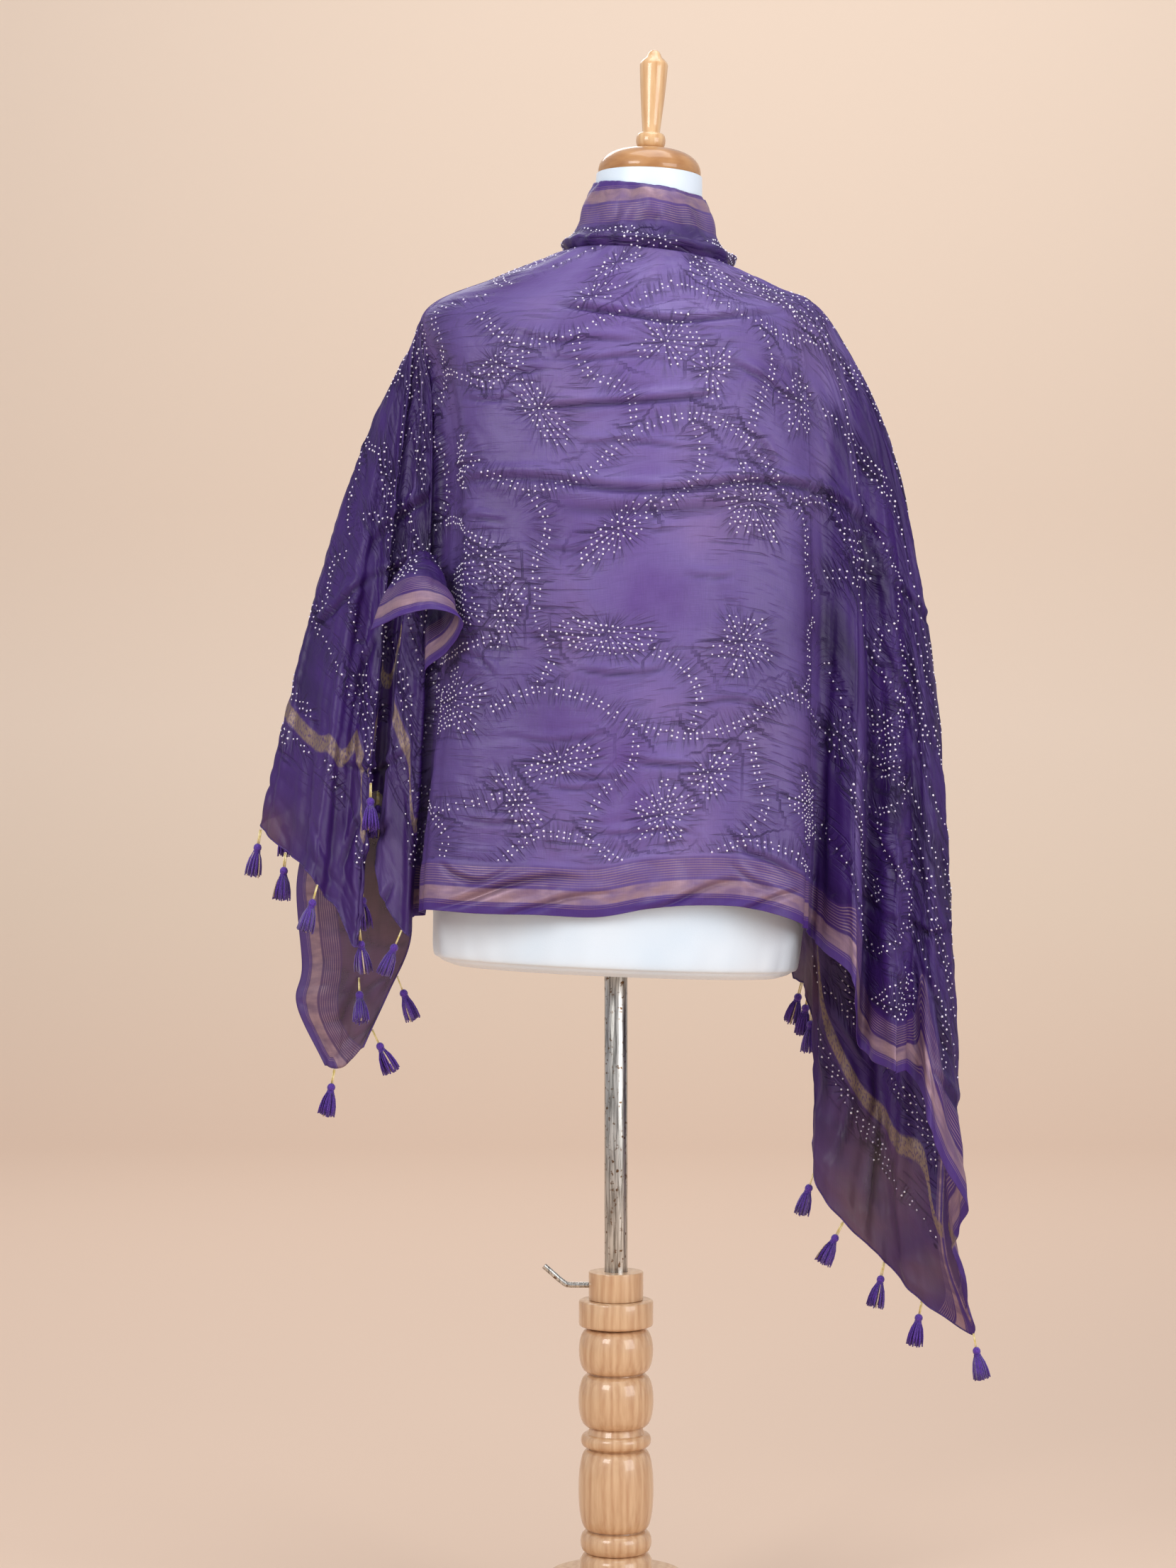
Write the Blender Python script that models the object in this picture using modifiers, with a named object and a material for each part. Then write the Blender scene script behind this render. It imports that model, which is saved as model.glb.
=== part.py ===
"""A tie-dyed dupatta stole draped round a limbless dress form that stands on a turned wooden stand.

Metres, +Z up. The origin is on the floor, at the centre of the stand's round base, on the axis of its pole.
-Y is the side that the form's back faces and +X is the form's right-hand side as seen from there.

The stole is one woven length of silk. It goes round the neck as a collar, down the back, and over both
shoulders into two wings whose short ends carry tassels. Its walls follow fold lines: each fold line starts at
the neck, goes over the shoulder and hangs down to the cloth's edge, and the cloth runs smoothly from one fold
line to the next.
"""

import math

import bmesh
import bpy
from mathutils import Euler, Vector

MM = 0.001

# Stand and dress form
BASE_RADIUS = 0.190
HUB_RADIUS = 0.070
POLE_RADIUS = 0.0112
POLE_FOOT_Z = 0.230
BORE_FLOOR_Z = 0.073
SCREW_RADIUS = 0.0028
SCREW_Z = 0.3455
FORM_BOTTOM_Z = 0.651
FORM_LEAN_DEG = 2.4
PIECE_GAP = 0.0003
POLE_TOP_GAP = 0.0008

# Cloth
CLOTH_WALL = 0.0013
SEAM_GAP = 0.0004
NECK_SEAM = 0.002
ACROSS_FOLD = 2
LEFT_END_ACROSS = 9
LEFT_END_DOWN = 8
TASSEL_SPACING = 0.058
TASSEL_LOCKS = 6
TASSEL_BEAD_RADIUS = 0.0012
TASSEL_GAP = 0.0004
TASSEL_LEAN = 0.36

# Where the cloth leaves the collar, and the ring round the shoulders that it hangs from
NECK_RING = {"x": 0.032, "half_width": 0.079, "half_depth": 0.078, "z": 1.343, "lean_drop": 0.008}
SHOULDER_RING = {"x": 0.008, "half_width": 0.197, "half_depth": 0.110, "side_z": 1.288, "back_z": 1.252}
YOKE_RISE = 0.005

# A row is a fold line: its name, where it starts round the body in degrees from the middle of the back, the
# point in millimetres where it ends at the cloth's edge, how far it bows sideways on the way, how late it
# leaves the straight line in depth (1 is a straight fall, 2 keeps the fold shallow until near the hem), and how
# far it draws in sideways just above its end.
FOLD_COLUMNS = ("name", "turn", "x", "y", "z", "bow", "late", "flick")
FOLDS = (
    ("left corner a", -174, -118, 136, 1010, 0, 1.0, 0),
    ("left front trough", -163, -160, 112, 975, 0, 1.0, 0),
    ("left front ridge", -152, -205, 124, 925, 0, 1.0, 0),
    ("left front hollow", -140, -248, 86, 880, -5, 1.0, 0),
    ("left front roll", -128, -292, 84, 838, -15, 1.0, 0),
    ("left outline front", -117, -330, 44, 806, -28, 1.0, 0),
    ("left outline", -108, -347, -5, 792, -30, 1.0, 0),
    ("left face trough", -103, -318, -36, 768, -28, 1.0, 0),
    ("left face ridge", -99, -290, -74, 745, -20, 1.0, 0),
    ("left face hollow", -96, -268, -60, 716, -12, 1.0, 0),
    ("left face fold", -93, -246, -80, 682, -8, 1.0, 0),
    ("inner pleat", -91, -240, -34, 815, -2, 1.0, 0),
    ("inner pleat far", -89, -221, -32, 812, 2, 1.0, 0),
    ("second face", -87, -228, -58, 738, 6, 1.0, 0),
    ("second fold", -84.5, -199, -76, 689, 11, 1.0, 0),
    ("left recess", -82, -195, -52, 704, 14, 1.0, 0),
    ("left recess far", -80, -188, -52, 708, 21, 1.0, 0),
    ("back left fold", -77, -183, -108, 715, 33, 0.8, 0),
    ("back left", -52, -131, -131, 712, 4, 0.8, 0),
    ("back left blade", -32, -73, -139, 711, 0, 0.8, 0),
    ("back centre left", -12, -18, -138, 709, 0, 0.8, 0),
    ("back centre right", 8, 30, -141, 717, 0, 0.8, 0),
    ("back right blade", 27, 78, -137, 720, 0, 0.8, 0),
    ("back right", 42, 125, -132, 717, 2, 0.8, 0),
    ("back right fold", 54, 176, -110, 701, 6, 1.0, 0),
    ("right recess", 60, 183, -52, 690, 12, 1.4, 0),
    ("border start", 66, 196, -55, 677, 18, 1.4, 0),
    ("border ruffle", 71, 224, -92, 644, 24, 1.4, 0),
    ("border trough", 76, 236, -52, 578, 30, 1.3, 0),
    ("flounce", 80, 264, -94, 560, 40, 1.2, 0),
    ("flounce hollow", 83.5, 282, -54, 556, 44, 1.1, 0),
    ("right face ridge", 87, 302, -66, 497, 50, 1.0, 0),
    ("right face", 91, 332, -38, 428, 54, 1.0, 0),
    ("right outline", 96, 332, -4, 370, 54, 1.0, -6),
    ("right corner b", 102, 353, 28, 294, 34, 1.0, -18),
    ("end trough", 108, 303, 46, 324, 34, 1.0, -12),
    ("end ridge", 115, 268, 68, 359, 28, 1.0, 0),
    ("end hollow", 122, 228, 58, 398, 24, 1.0, 0),
    ("end fold", 128, 198, 72, 450, 20, 1.0, 0),
    ("end inner", 133, 205, 80, 556, 16, 1.0, 0),
    ("end pleat", 138, 194, 92, 625, 12, 1.0, 0),
    ("end pleat edge", 143, 188, 106, 636, 8, 1.0, 0),
    ("right front ridge", 148, 176, 116, 652, 6, 1.0, 0),
    ("right front hollow", 155, 142, 108, 770, 4, 1.0, 0),
    ("right front roll", 161, 96, 134, 900, 0, 1.0, 0),
    ("right front trough", 167, 52, 124, 1020, 0, 1.0, 0),
    ("right corner a", 173, 8, 143, 1118, 0, 1.0, 0),
)

# The stretches of cloth that show: where each starts and ends, as a fold line and how far on it is towards the
# next one, and how finely it is divided downwards. Its seams run between folds, where the cloth is flattest.
STRETCH_COLUMNS = ("node", "first", "first_on", "last", "last_on", "down")
STRETCHES = (
    ("stole_left_front", "left corner a", 0.0, "left outline front", 0.5, 12),
    ("stole_left_back", "left outline front", 0.5, "left recess far", 0.5, 12),
    ("stole_back", "left recess far", 0.5, "back right fold", 0.5, 12),
    ("stole_right_back", "back right fold", 0.5, "right corner b", 0.5, 12),
    ("stole_right_front", "right corner b", 0.5, "right corner a", 0.0, 12),
)


def rows(columns, table):
    return [dict(zip(columns, row)) for row in table]


FOLD_ROWS = rows(FOLD_COLUMNS, FOLDS)
FOLD_INDEX = {row["name"]: index for index, row in enumerate(FOLD_ROWS)}


def on_spline(points, place):
    """The point at place, from 0 to len(points) - 1, on a smooth curve through evenly counted points."""
    last = len(points) - 1
    index = min(int(place), last - 1)
    t = place - index
    b, c = points[index], points[index + 1]
    a = points[index - 1] if index > 0 else b + (b - c)
    d = points[index + 2] if index + 2 <= last else c + (c - b)
    return 0.5 * (2 * b + (c - a) * t + (2 * a - 5 * b + 4 * c - d) * t * t + (3 * b - a - 3 * c + d) * t**3)


def neck_point(turn):
    angle = math.radians(turn)
    ring = NECK_RING
    return Vector((
        ring["x"] + ring["half_width"] * math.sin(angle),
        -ring["half_depth"] * math.cos(angle),
        ring["z"] - ring["lean_drop"] * math.sin(angle),
    ))


def shoulder_point(turn):
    angle = math.radians(turn)
    ring = SHOULDER_RING
    side = math.sin(angle) ** 2
    return Vector((
        ring["x"] + ring["half_width"] * math.sin(angle),
        -ring["half_depth"] * math.cos(angle),
        ring["back_z"] + (ring["side_z"] - ring["back_z"]) * side,
    ))


def fall_point(fold, start, share):
    """A point on a fold line below the shoulder; share is 0 at the shoulder and 1 at the cloth's edge."""
    end = Vector((fold["x"], fold["y"], fold["z"])) * MM
    bow = fold["bow"] * MM * math.sin(math.pi * share**0.6)
    flick = fold["flick"] * MM * math.sin(math.pi * share**8)
    return Vector((
        start.x + (end.x - start.x) * share + bow + flick,
        start.y + (end.y - start.y) * share ** fold["late"],
        start.z + (end.z - start.z) * share,
    ))


def fold_curve(fold):
    """The points that a fold line passes through, from the collar to the cloth's edge."""
    neck = neck_point(fold["turn"])
    shoulder = shoulder_point(fold["turn"])
    yoke = (neck + shoulder) / 2 + Vector((0, 0, YOKE_RISE))
    falls = [fall_point(fold, shoulder, share) for share in FALL_SHARES]
    return [neck, yoke, shoulder, *falls]


FALL_SHARES = (0.14, 0.34, 0.55, 0.75, 0.90, 1.0)
FOLD_STEPS = 2 + len(FALL_SHARES)
FOLD_ENDS = [Vector((row["x"], row["y"], row["z"])) for row in FOLD_ROWS]
FOLD_BENDS = [Vector((row["bow"], row["late"], row["flick"])) for row in FOLD_ROWS]


def fold_at(fold_place):
    """The values of the fold line at fold_place, which counts the rows of the table and runs between them too."""
    below = min(max(int(fold_place), 0), len(FOLD_ROWS) - 2)
    turns = FOLD_ROWS[below]["turn"], FOLD_ROWS[below + 1]["turn"]
    end = on_spline(FOLD_ENDS, fold_place)
    bow, late, flick = on_spline(FOLD_BENDS, fold_place)
    return {
        "turn": turns[0] + (turns[1] - turns[0]) * (fold_place - below),
        "x": end.x,
        "y": end.y,
        "z": end.z,
        "bow": bow,
        "late": late,
        "flick": flick,
    }


def cloth_point(fold_place, down):
    """The middle of the cloth: fold_place counts fold lines, down is 0 at the collar and 1 at the edge."""
    return on_spline(fold_curve(fold_at(fold_place)), down * FOLD_STEPS)


def new_collection(name):
    made = bpy.data.collections.new(name)
    bpy.context.scene.collection.children.link(made)
    return made


def new_material(name, colour, roughness, metallic=0.0):
    made = bpy.data.materials.new(name)
    made.use_nodes = True
    shader = made.node_tree.nodes["Principled BSDF"]
    shader.inputs["Base Color"].default_value = (*colour, 1)
    shader.inputs["Roughness"].default_value = roughness
    shader.inputs["Metallic"].default_value = metallic
    return made


def add_object(name, data, material, parent=None, smooth=True):
    made = bpy.data.objects.new(name, data)
    PARTS.objects.link(made)
    data.materials.append(material)
    made.parent = parent
    if smooth and isinstance(data, bpy.types.Mesh):
        data.shade_smooth()
        data.set_sharp_from_angle(angle=math.radians(40))
    return made


def mesh_from(bm, name):
    data = bpy.data.meshes.new(name)
    bm.to_mesh(data)
    bm.free()
    return data


def turned(name, profile, segments, material, parent=None, location=(0, 0, 0)):
    """A turned piece: profile runs down its outer side as (radius, height), from the axis to the axis."""
    bm = bmesh.new()
    line = [bm.verts.new((radius, 0, height)) for radius, height in profile]
    for top, below in zip(line, line[1:]):
        bm.edges.new((top, below))
    made = add_object(name, mesh_from(bm, name), material, parent, smooth=False)
    made.location = location
    screw = made.modifiers.new("turn", "SCREW")
    screw.steps = segments
    screw.render_steps = segments
    screw.use_merge_vertices = True
    screw.merge_threshold = 0.00001
    screw.use_smooth_shade = True
    return made


def bead(radius, neck, centre, half_height, steps):
    """Part of a turned profile: a rounded swelling between two narrow necks."""
    points = []
    for step in range(steps + 1):
        angle = math.pi * step / steps
        swell = math.sin(angle) ** 0.7
        points.append((neck + (radius - neck) * swell, centre + half_height * math.cos(angle)))
    return points


def make_stand():
    base_top, hub_top = 0.034, 0.066
    turned("stand_base", [
        (0, base_top),
        (0.150, base_top),
        (0.172, base_top - 0.004),
        (BASE_RADIUS - 0.004, base_top - 0.012),
        (BASE_RADIUS, base_top - 0.019),
        (BASE_RADIUS, 0.003),
        (BASE_RADIUS - 0.003, 0),
        (0, 0),
    ], 32, WOOD)
    turned("stand_hub", [
        (0, hub_top),
        (HUB_RADIUS - 0.006, hub_top),
        (HUB_RADIUS, hub_top - 0.006),
        (HUB_RADIUS, hub_top - 0.016),
        (HUB_RADIUS - 0.005, hub_top - 0.021),
        (HUB_RADIUS + 0.012, base_top + 0.004),
        (HUB_RADIUS + 0.016, base_top + PIECE_GAP),
        (0, base_top + PIECE_GAP),
    ], 28, WOOD)
    plate_top = 0.331
    bore = POLE_RADIUS + PIECE_GAP
    turned("stand_pillar", [
        (0, BORE_FLOOR_Z),
        (bore, BORE_FLOOR_Z),
        (bore, plate_top),
        (0.0345, plate_top),
        (0.0362, plate_top - 0.002),
        (0.0362, plate_top - 0.022),
        (0.0345, plate_top - 0.025),
        *bead(0.0362, 0.0245, 0.282, 0.0215, 5),
        *bead(0.0366, 0.0250, 0.2335, 0.0255, 6),
        (0.0265, 0.2050),
        *bead(0.0342, 0.0280, 0.1950, 0.0065, 4),
        *bead(0.0366, 0.0262, 0.1470, 0.0390, 7),
        *bead(0.0347, 0.0265, 0.0965, 0.0105, 4),
        (0.0315, 0.0845),
        (0.0348, 0.0790),
        (0.0350, hub_top + PIECE_GAP),
        (0, hub_top + PIECE_GAP),
    ], 18, WOOD)
    block_foot = plate_top + PIECE_GAP
    ring = bmesh.new()
    bottom = bmesh.ops.create_circle(ring, segments=24, radius=0.0266)["verts"]
    inner = bmesh.ops.create_circle(ring, segments=24, radius=bore)["verts"]
    bmesh.ops.bridge_loops(ring, edges=edges_of(bottom) + edges_of(inner))
    faces = bmesh.ops.extrude_face_region(ring, geom=ring.faces[:])
    top = [part for part in faces["geom"] if isinstance(part, bmesh.types.BMVert)]
    bmesh.ops.translate(ring, verts=top, vec=(0, 0, 0.0275))
    bmesh.ops.recalc_face_normals(ring, faces=ring.faces)
    block = add_object("stand_block", mesh_from(ring, "stand_block"), WOOD)
    block.location = (0, 0, block_foot)
    screw_hole = cutting_rod(SCREW_RADIUS + PIECE_GAP, 0.030, (-0.020, 0, SCREW_Z))
    hole = block.modifiers.new("screw hole", "BOOLEAN")
    hole.operation = "DIFFERENCE"
    hole.object = screw_hole
    pole_top = FORM_BOTTOM_Z - POLE_TOP_GAP
    turned("form_pole", [
        (0, pole_top),
        (POLE_RADIUS, pole_top),
        (POLE_RADIUS, POLE_FOOT_Z),
        (0, POLE_FOOT_Z),
    ], 24, STEEL)
    rod("crank_screw", [
        (-POLE_RADIUS - PIECE_GAP, 0, 0),
        (-0.044, 0, 0),
        (-0.050, 0, 0.0015),
        (-0.070, 0, 0.0185),
    ], SCREW_RADIUS, STEEL).location = (0, 0, SCREW_Z)


def cutting_rod(radius, length, centre):
    """A cutter along X, for a round hole."""
    bm = bmesh.new()
    verts = bmesh.ops.create_cone(
        bm, cap_ends=True, segments=12, radius1=radius, radius2=radius, depth=length
    )["verts"]
    bmesh.ops.rotate(bm, verts=verts, matrix=Euler((0, math.radians(90), 0)).to_matrix())
    made = loose_object("screw_hole_cutter", bm)
    made.location = centre
    return made


def edges_of(verts):
    wanted = set(verts)
    return list({edge for vert in verts for edge in vert.link_edges if edge.other_vert(vert) in wanted})


def rod(name, points, radius, material):
    curve = bpy.data.curves.new(name, "CURVE")
    curve.dimensions = "3D"
    curve.bevel_depth = radius
    curve.bevel_resolution = 2
    curve.use_fill_caps = True
    line = curve.splines.new("POLY")
    line.points.add(len(points) - 1)
    for point, place in zip(line.points, points):
        point.co = (*place, 1)
    return add_object(name, curve, material)


# Half width and half depth of the torso at heights above its bottom edge, without any figure of its own
TORSO_COLUMNS = ("height", "half_width", "half_depth")
TORSO = (
    (0.000, 0.1560, 0.1000),
    (0.006, 0.1700, 0.1130),
    (0.020, 0.1780, 0.1205),
    (0.100, 0.1800, 0.1220),
    (0.200, 0.1640, 0.1130),
    (0.310, 0.1330, 0.0950),
    (0.420, 0.1440, 0.0990),
    (0.520, 0.1620, 0.1030),
    (0.585, 0.1760, 0.1040),
    (0.618, 0.1720, 0.0960),
    (0.640, 0.1560, 0.0870),
    (0.658, 0.1290, 0.0780),
    (0.676, 0.0962, 0.0690),
    (0.694, 0.0724, 0.0612),
    (0.716, 0.0555, 0.0535),
    (0.774, 0.0515, 0.0510),
)
TORSO_SIDES = 26


def torso_rings():
    """The torso's table with a ring between the rows that lie far apart, on a smooth curve."""
    table = [Vector(row) for row in TORSO]
    places = [step / 2 for step in range(2 * len(table) - 1)]
    return [on_spline(table, place) for place in places if 2 < place < 8 or place == int(place)]


def make_form():
    lean = bpy.data.objects.new("form_lean", None)
    PARTS.objects.link(lean)
    lean.location = (0, 0, FORM_BOTTOM_Z)
    lean.rotation_euler = Euler((0, math.radians(FORM_LEAN_DEG), 0))
    bm = bmesh.new()
    below = None
    for height, half_width, half_depth in torso_rings():
        ring = bmesh.ops.create_circle(bm, segments=TORSO_SIDES, radius=1)["verts"]
        bmesh.ops.scale(bm, verts=ring, vec=(half_width, half_depth, 1))
        bmesh.ops.translate(bm, verts=ring, vec=(0, 0, height))
        if below:
            bmesh.ops.bridge_loops(bm, edges=edges_of(below) + edges_of(ring))
        below = ring
    bmesh.ops.holes_fill(bm, edges=[edge for edge in bm.edges if edge.is_boundary])
    bmesh.ops.recalc_face_normals(bm, faces=bm.faces)
    add_object("form_torso", mesh_from(bm, "form_torso"), FORM_CLOTH, lean)
    cap_foot = TORSO[-1][0] + PIECE_GAP
    turned("form_cap", [
        (0, cap_foot + 0.0262),
        (0.016, cap_foot + 0.0258),
        (0.030, cap_foot + 0.0236),
        (0.041, cap_foot + 0.0190),
        (0.0475, cap_foot + 0.0125),
        (0.0500, cap_foot + 0.0050),
        (0.0500, cap_foot),
        (0, cap_foot),
    ], 28, WOOD, lean)
    finial_foot = cap_foot + 0.0262 + PIECE_GAP
    turned("form_finial", [
        (0, finial_foot + 0.0965),
        (0.0036, finial_foot + 0.0955),
        (0.0062, finial_foot + 0.0925),
        (0.0082, finial_foot + 0.0885),
        (0.0132, finial_foot + 0.0835),
        (0.0138, finial_foot + 0.0815),
        (0.0135, finial_foot + 0.0760),
        (0.0112, finial_foot + 0.0440),
        (0.0086, finial_foot + 0.0165),
        *bead(0.0144, 0.0092, finial_foot + 0.0078, 0.0074, 6),
        (0.0090, finial_foot),
        (0, finial_foot),
    ], 14, WOOD, lean)


def surface_normal(surface, u, v):
    step = 0.001
    along = surface(u + step, v) - surface(u - step, v)
    below = surface(u, v + step) - surface(u, v - step)
    return along.cross(below).normalized()


def sheet(name, surface, across, down, seam=0.0, ring=False):
    """A wall of cloth whose middle is surface(u, v), with u and v from 0 to 1.

    Its two side edges are drawn in by half of seam. A ring closes on itself where u comes round.
    """
    bm = bmesh.new()
    sides = []
    for side in (1, -1):
        verts = bmesh.ops.create_grid(bm, x_segments=across, y_segments=down, size=0.5)["verts"]
        for vert in verts:
            u, v = vert.co.x + 0.5, 0.5 - vert.co.y
            normal = surface_normal(surface, u, v)
            if seam and min(u, 1 - u) < 0.0001:
                speed = (surface(u + 0.001, v) - surface(u - 0.001, v)).length / 0.002
                u += (0.5 - u) * seam / speed
            vert.co = surface(u, v) + normal * side * CLOTH_WALL / 2
        sides.append(verts)
    partner = dict(zip(*sides))
    row = across + 1
    place = {vert: index for index, vert in enumerate(sides[0])}
    for edge in [edge for edge in bm.edges if edge.is_boundary and edge.verts[0] in partner]:
        a, b = edge.verts
        upright = place[a] // row != place[b] // row
        if not (ring and upright):
            bm.faces.new((a, b, partner[b], partner[a]))
    if ring:
        bmesh.ops.remove_doubles(bm, verts=bm.verts, dist=0.00001)
    bmesh.ops.recalc_face_normals(bm, faces=bm.faces)
    return add_object(name, mesh_from(bm, name), SILK)


def stretch(row):
    """One stretch of the stole, drawn in a little at its two seams and at the collar."""
    first = FOLD_INDEX[row["first"]] + row["first_on"]
    last = FOLD_INDEX[row["last"]] + row["last_on"]
    folds = last - first

    def surface(u, v):
        return cloth_point(first + folds * u, NECK_SEAM + (1 - NECK_SEAM) * v)

    return sheet(row["node"], surface, round(folds * ACROSS_FOLD), row["down"], SEAM_GAP)


# The collar's wall from its seam with the yoke up to its top edge: how far it stands out from the neck ring's
# own width, and its height above that ring. The low swelling is the rolled fold at its foot.
COLLAR_COLUMNS = ("out", "rise")
COLLAR = (
    (0.0000, 0.0016),
    (0.0048, 0.0046),
    (0.0044, 0.0105),
    (-0.0060, 0.0155),
    (-0.0130, 0.0260),
    (-0.0150, 0.0420),
    (-0.0190, 0.0560),
    (-0.0240, 0.0650),
)
COLLAR_TOP_X = 0.032


def collar_point(u, v):
    """A point on the collar: u goes once round the neck, v is 0 at the foot and 1 at the top edge."""
    turn = 360 * u
    angle = math.radians(turn)
    out, rise = on_spline([Vector(row) for row in COLLAR], v * (len(COLLAR) - 1))
    foot = neck_point(turn)
    flare = Vector((math.sin(angle), -math.cos(angle), 0)) * out
    pleat = 0.0022 * math.sin(3 * angle + 5 * v) * v * (1 - v) * 4
    return foot + flare * (1 + pleat / 0.02) + Vector((0, 0, rise))


def make_collar():
    sheet("stole_collar", collar_point, 30, 9, ring=True)


# The left end's hanging corner, behind the two left faces: rows of points in millimetres across it from the
# bordered edge to the tasselled edge, from top to bottom. Its top hangs on just behind the inner pleat's foot.
PLEAT_EDGE = cloth_point(FOLD_INDEX["inner pleat"] + 0.5, 1.0) / MM + Vector((0, 1.9, 1.0))
LEFT_END_ROWS = (
    ((-300, 8, 790), (-264, -16, 800), PLEAT_EDGE, (-205, -6, 812)),
    ((-312, 18, 733), (-276, -4, 738), (-236, -4, 742), (-203, -4, 748)),
    ((-307, 20, 655), (-272, 2, 662), (-236, 16, 672), (-200, 6, 684)),
    ((-312, 18, 617), (-281, 6, 610), (-252, 20, 612), (-223, 26, 630)),
    ((-284, 12, 558), (-275, 10, 555), (-264, 14, 558), (-248, 20, 575)),
)

# The flounce of bordered edge that spills out of the recess between the left wing and the back, from the fold
# that it is caught on
FLOUNCE_ROOT = cloth_point(FOLD_INDEX["second fold"], 7.5 / 12) / MM - Vector((0, 1.4, 0))
RUFFLE_ROWS = (
    ((-196, -56, 1052), (-188, -62, 1056), (-178, -60, 1054), (-172, -52, 1050), (-174, -44, 1046), FLOUNCE_ROOT),
    ((-220, -80, 1012), (-198, -102, 1026), (-174, -104, 1026), (-156, -100, 1012), (-164, -84, 996), (-182, -74, 988)),
    ((-232, -92, 978), (-204, -124, 990), (-172, -132, 996), (-144, -132, 984), (-158, -114, 958), (-182, -100, 940)),
)


def on_rows(point_rows, u, v):
    """A point on the smooth surface through rows of points."""
    across = [
        on_spline([Vector(point) * MM for point in row], u * (len(row) - 1))
        for row in point_rows
    ]
    return on_spline(across, v * (len(across) - 1))


def make_left_end():
    sheet("stole_left_end", lambda u, v: on_rows(LEFT_END_ROWS, u, v), LEFT_END_ACROSS, LEFT_END_DOWN)


def make_ruffle():
    sheet("stole_left_flounce", lambda u, v: on_rows(RUFFLE_ROWS, u, v), 16, 5)


def tassel_mesh():
    """A tassel hung from a glass bead: the bead, a wound head and a skirt of thread locks, all one body.

    Its top is at the origin and it hangs down. Each lock is drawn out of a wedge of the head's underside.
    """
    bead_length, bead_radius, head_radius, skirt = 0.0145, TASSEL_BEAD_RADIUS, 0.0040, 0.0240
    head_rows = ((head_radius, -0.0172), (0.0040, -0.0205), (0.0038, -0.0224))
    bm = bmesh.new()
    above = bmesh.ops.create_circle(bm, cap_ends=True, segments=TASSEL_LOCKS, radius=bead_radius)["verts"]
    for radius, height in ((bead_radius, -bead_length), *head_rows):
        ring = bmesh.ops.create_circle(bm, segments=TASSEL_LOCKS, radius=radius)["verts"]
        bmesh.ops.translate(bm, verts=ring, vec=(0, 0, height))
        bmesh.ops.bridge_loops(bm, edges=edges_of(above) + edges_of(ring))
        above = ring
    underside = bmesh.ops.contextual_create(bm, geom=edges_of(above))["faces"]
    wedges = bmesh.ops.poke(bm, faces=underside)["faces"]
    bmesh.ops.inset_individual(bm, faces=wedges, thickness=0.0004)
    for number, wedge in enumerate(wedges):
        middle = wedge.calc_center_median()
        outward = Vector((middle.x, middle.y, 0)).normalized()
        spread = 0.0018 if number % 2 else 0.0034
        drop = skirt * (0.96 if number % 3 == 1 else 1.0)
        for vert in wedge.verts:
            tip = middle + (vert.co - middle) * 0.7
            vert.co = tip + outward * spread - Vector((0, 0, drop))
    bmesh.ops.recalc_face_normals(bm, faces=bm.faces)
    data = mesh_from(bm, "tassel")
    data.shade_smooth()
    data.set_sharp_from_angle(angle=math.radians(50))
    data.materials.append(THREAD)
    return data


def loose_object(name, bm):
    made = bpy.data.objects.new(name, mesh_from(bm, name))
    CUTTERS.objects.link(made)
    made.hide_render = True
    made.display_type = "WIRE"
    return made


# The tassels that hang on view: the fold line each hangs from, how far on towards the next one, how far down the
# cloth, from its foot or its face, and how far it leans sideways and in depth, in degrees.
TASSEL_COLUMNS = ("fold", "on", "down", "side", "lean_x", "lean_y")
TASSELS = (
    ("left outline", 0.1, 1.0, "foot", -2, 0),
    ("left face trough", 0.0, 1.0, "foot", 4, 0),
    ("left face ridge", 0.26, 1.0, "foot", -4, 0),
    ("left face fold", 0.12, 1.0, "foot", 3, 0),
    ("left face fold", 0.0, 0.75, "face", 0, -14),
    ("inner pleat", 0.5, 1.0, "face", 0, -10),
    ("left face fold", 0.44, 1.0, "foot", 8, 0),
    ("second face", 0.85, 1.0, "foot", -9, 0),
    ("right corner b", 0.05, 1.0, "foot", 2, 0),
    ("end trough", 0.0, 1.0, "foot", 0, 0),
    ("end ridge", 0.0, 1.0, "foot", 3, 0),
    ("end hollow", 0.04, 1.0, "foot", -12, 0),
    ("end hollow", 0.96, 1.0, "foot", -2, 0),
    ("end inner", 0.75, 1.0, "foot", 10, -12),
    ("end pleat", 0.05, 1.0, "foot", 0, 0),
    ("end pleat", 0.95, 1.0, "foot", -8, 10),
)

# The same for the left end's hanging corner: where each hangs across and down it
END_TASSEL_COLUMNS = ("across", "down", "side", "lean_x", "lean_y")
END_TASSELS = (
    (0.34, 1.0, "foot", -10, 0),
    (1.0, 0.92, "edge", 8, 0),
    (1.0, 0.68, "edge", 4, 0),
    (0.56, 0.60, "face", 4, -26),
)


def edge_outward(surface, u, v, side):
    """The direction that leaves the cloth at its foot or side edge, square to that edge, or at its -Y face."""
    step = 0.001
    below = surface(u, v + step) - surface(u, v)
    across = surface(u + step, v) - surface(u, v)
    if side == "face":
        normal = across.cross(below).normalized()
        return normal if normal.y < 0 else -normal
    edge = (below if side == "edge" else across).normalized()
    out = across if side == "edge" else below
    return (out - edge * out.dot(edge)).normalized()


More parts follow.
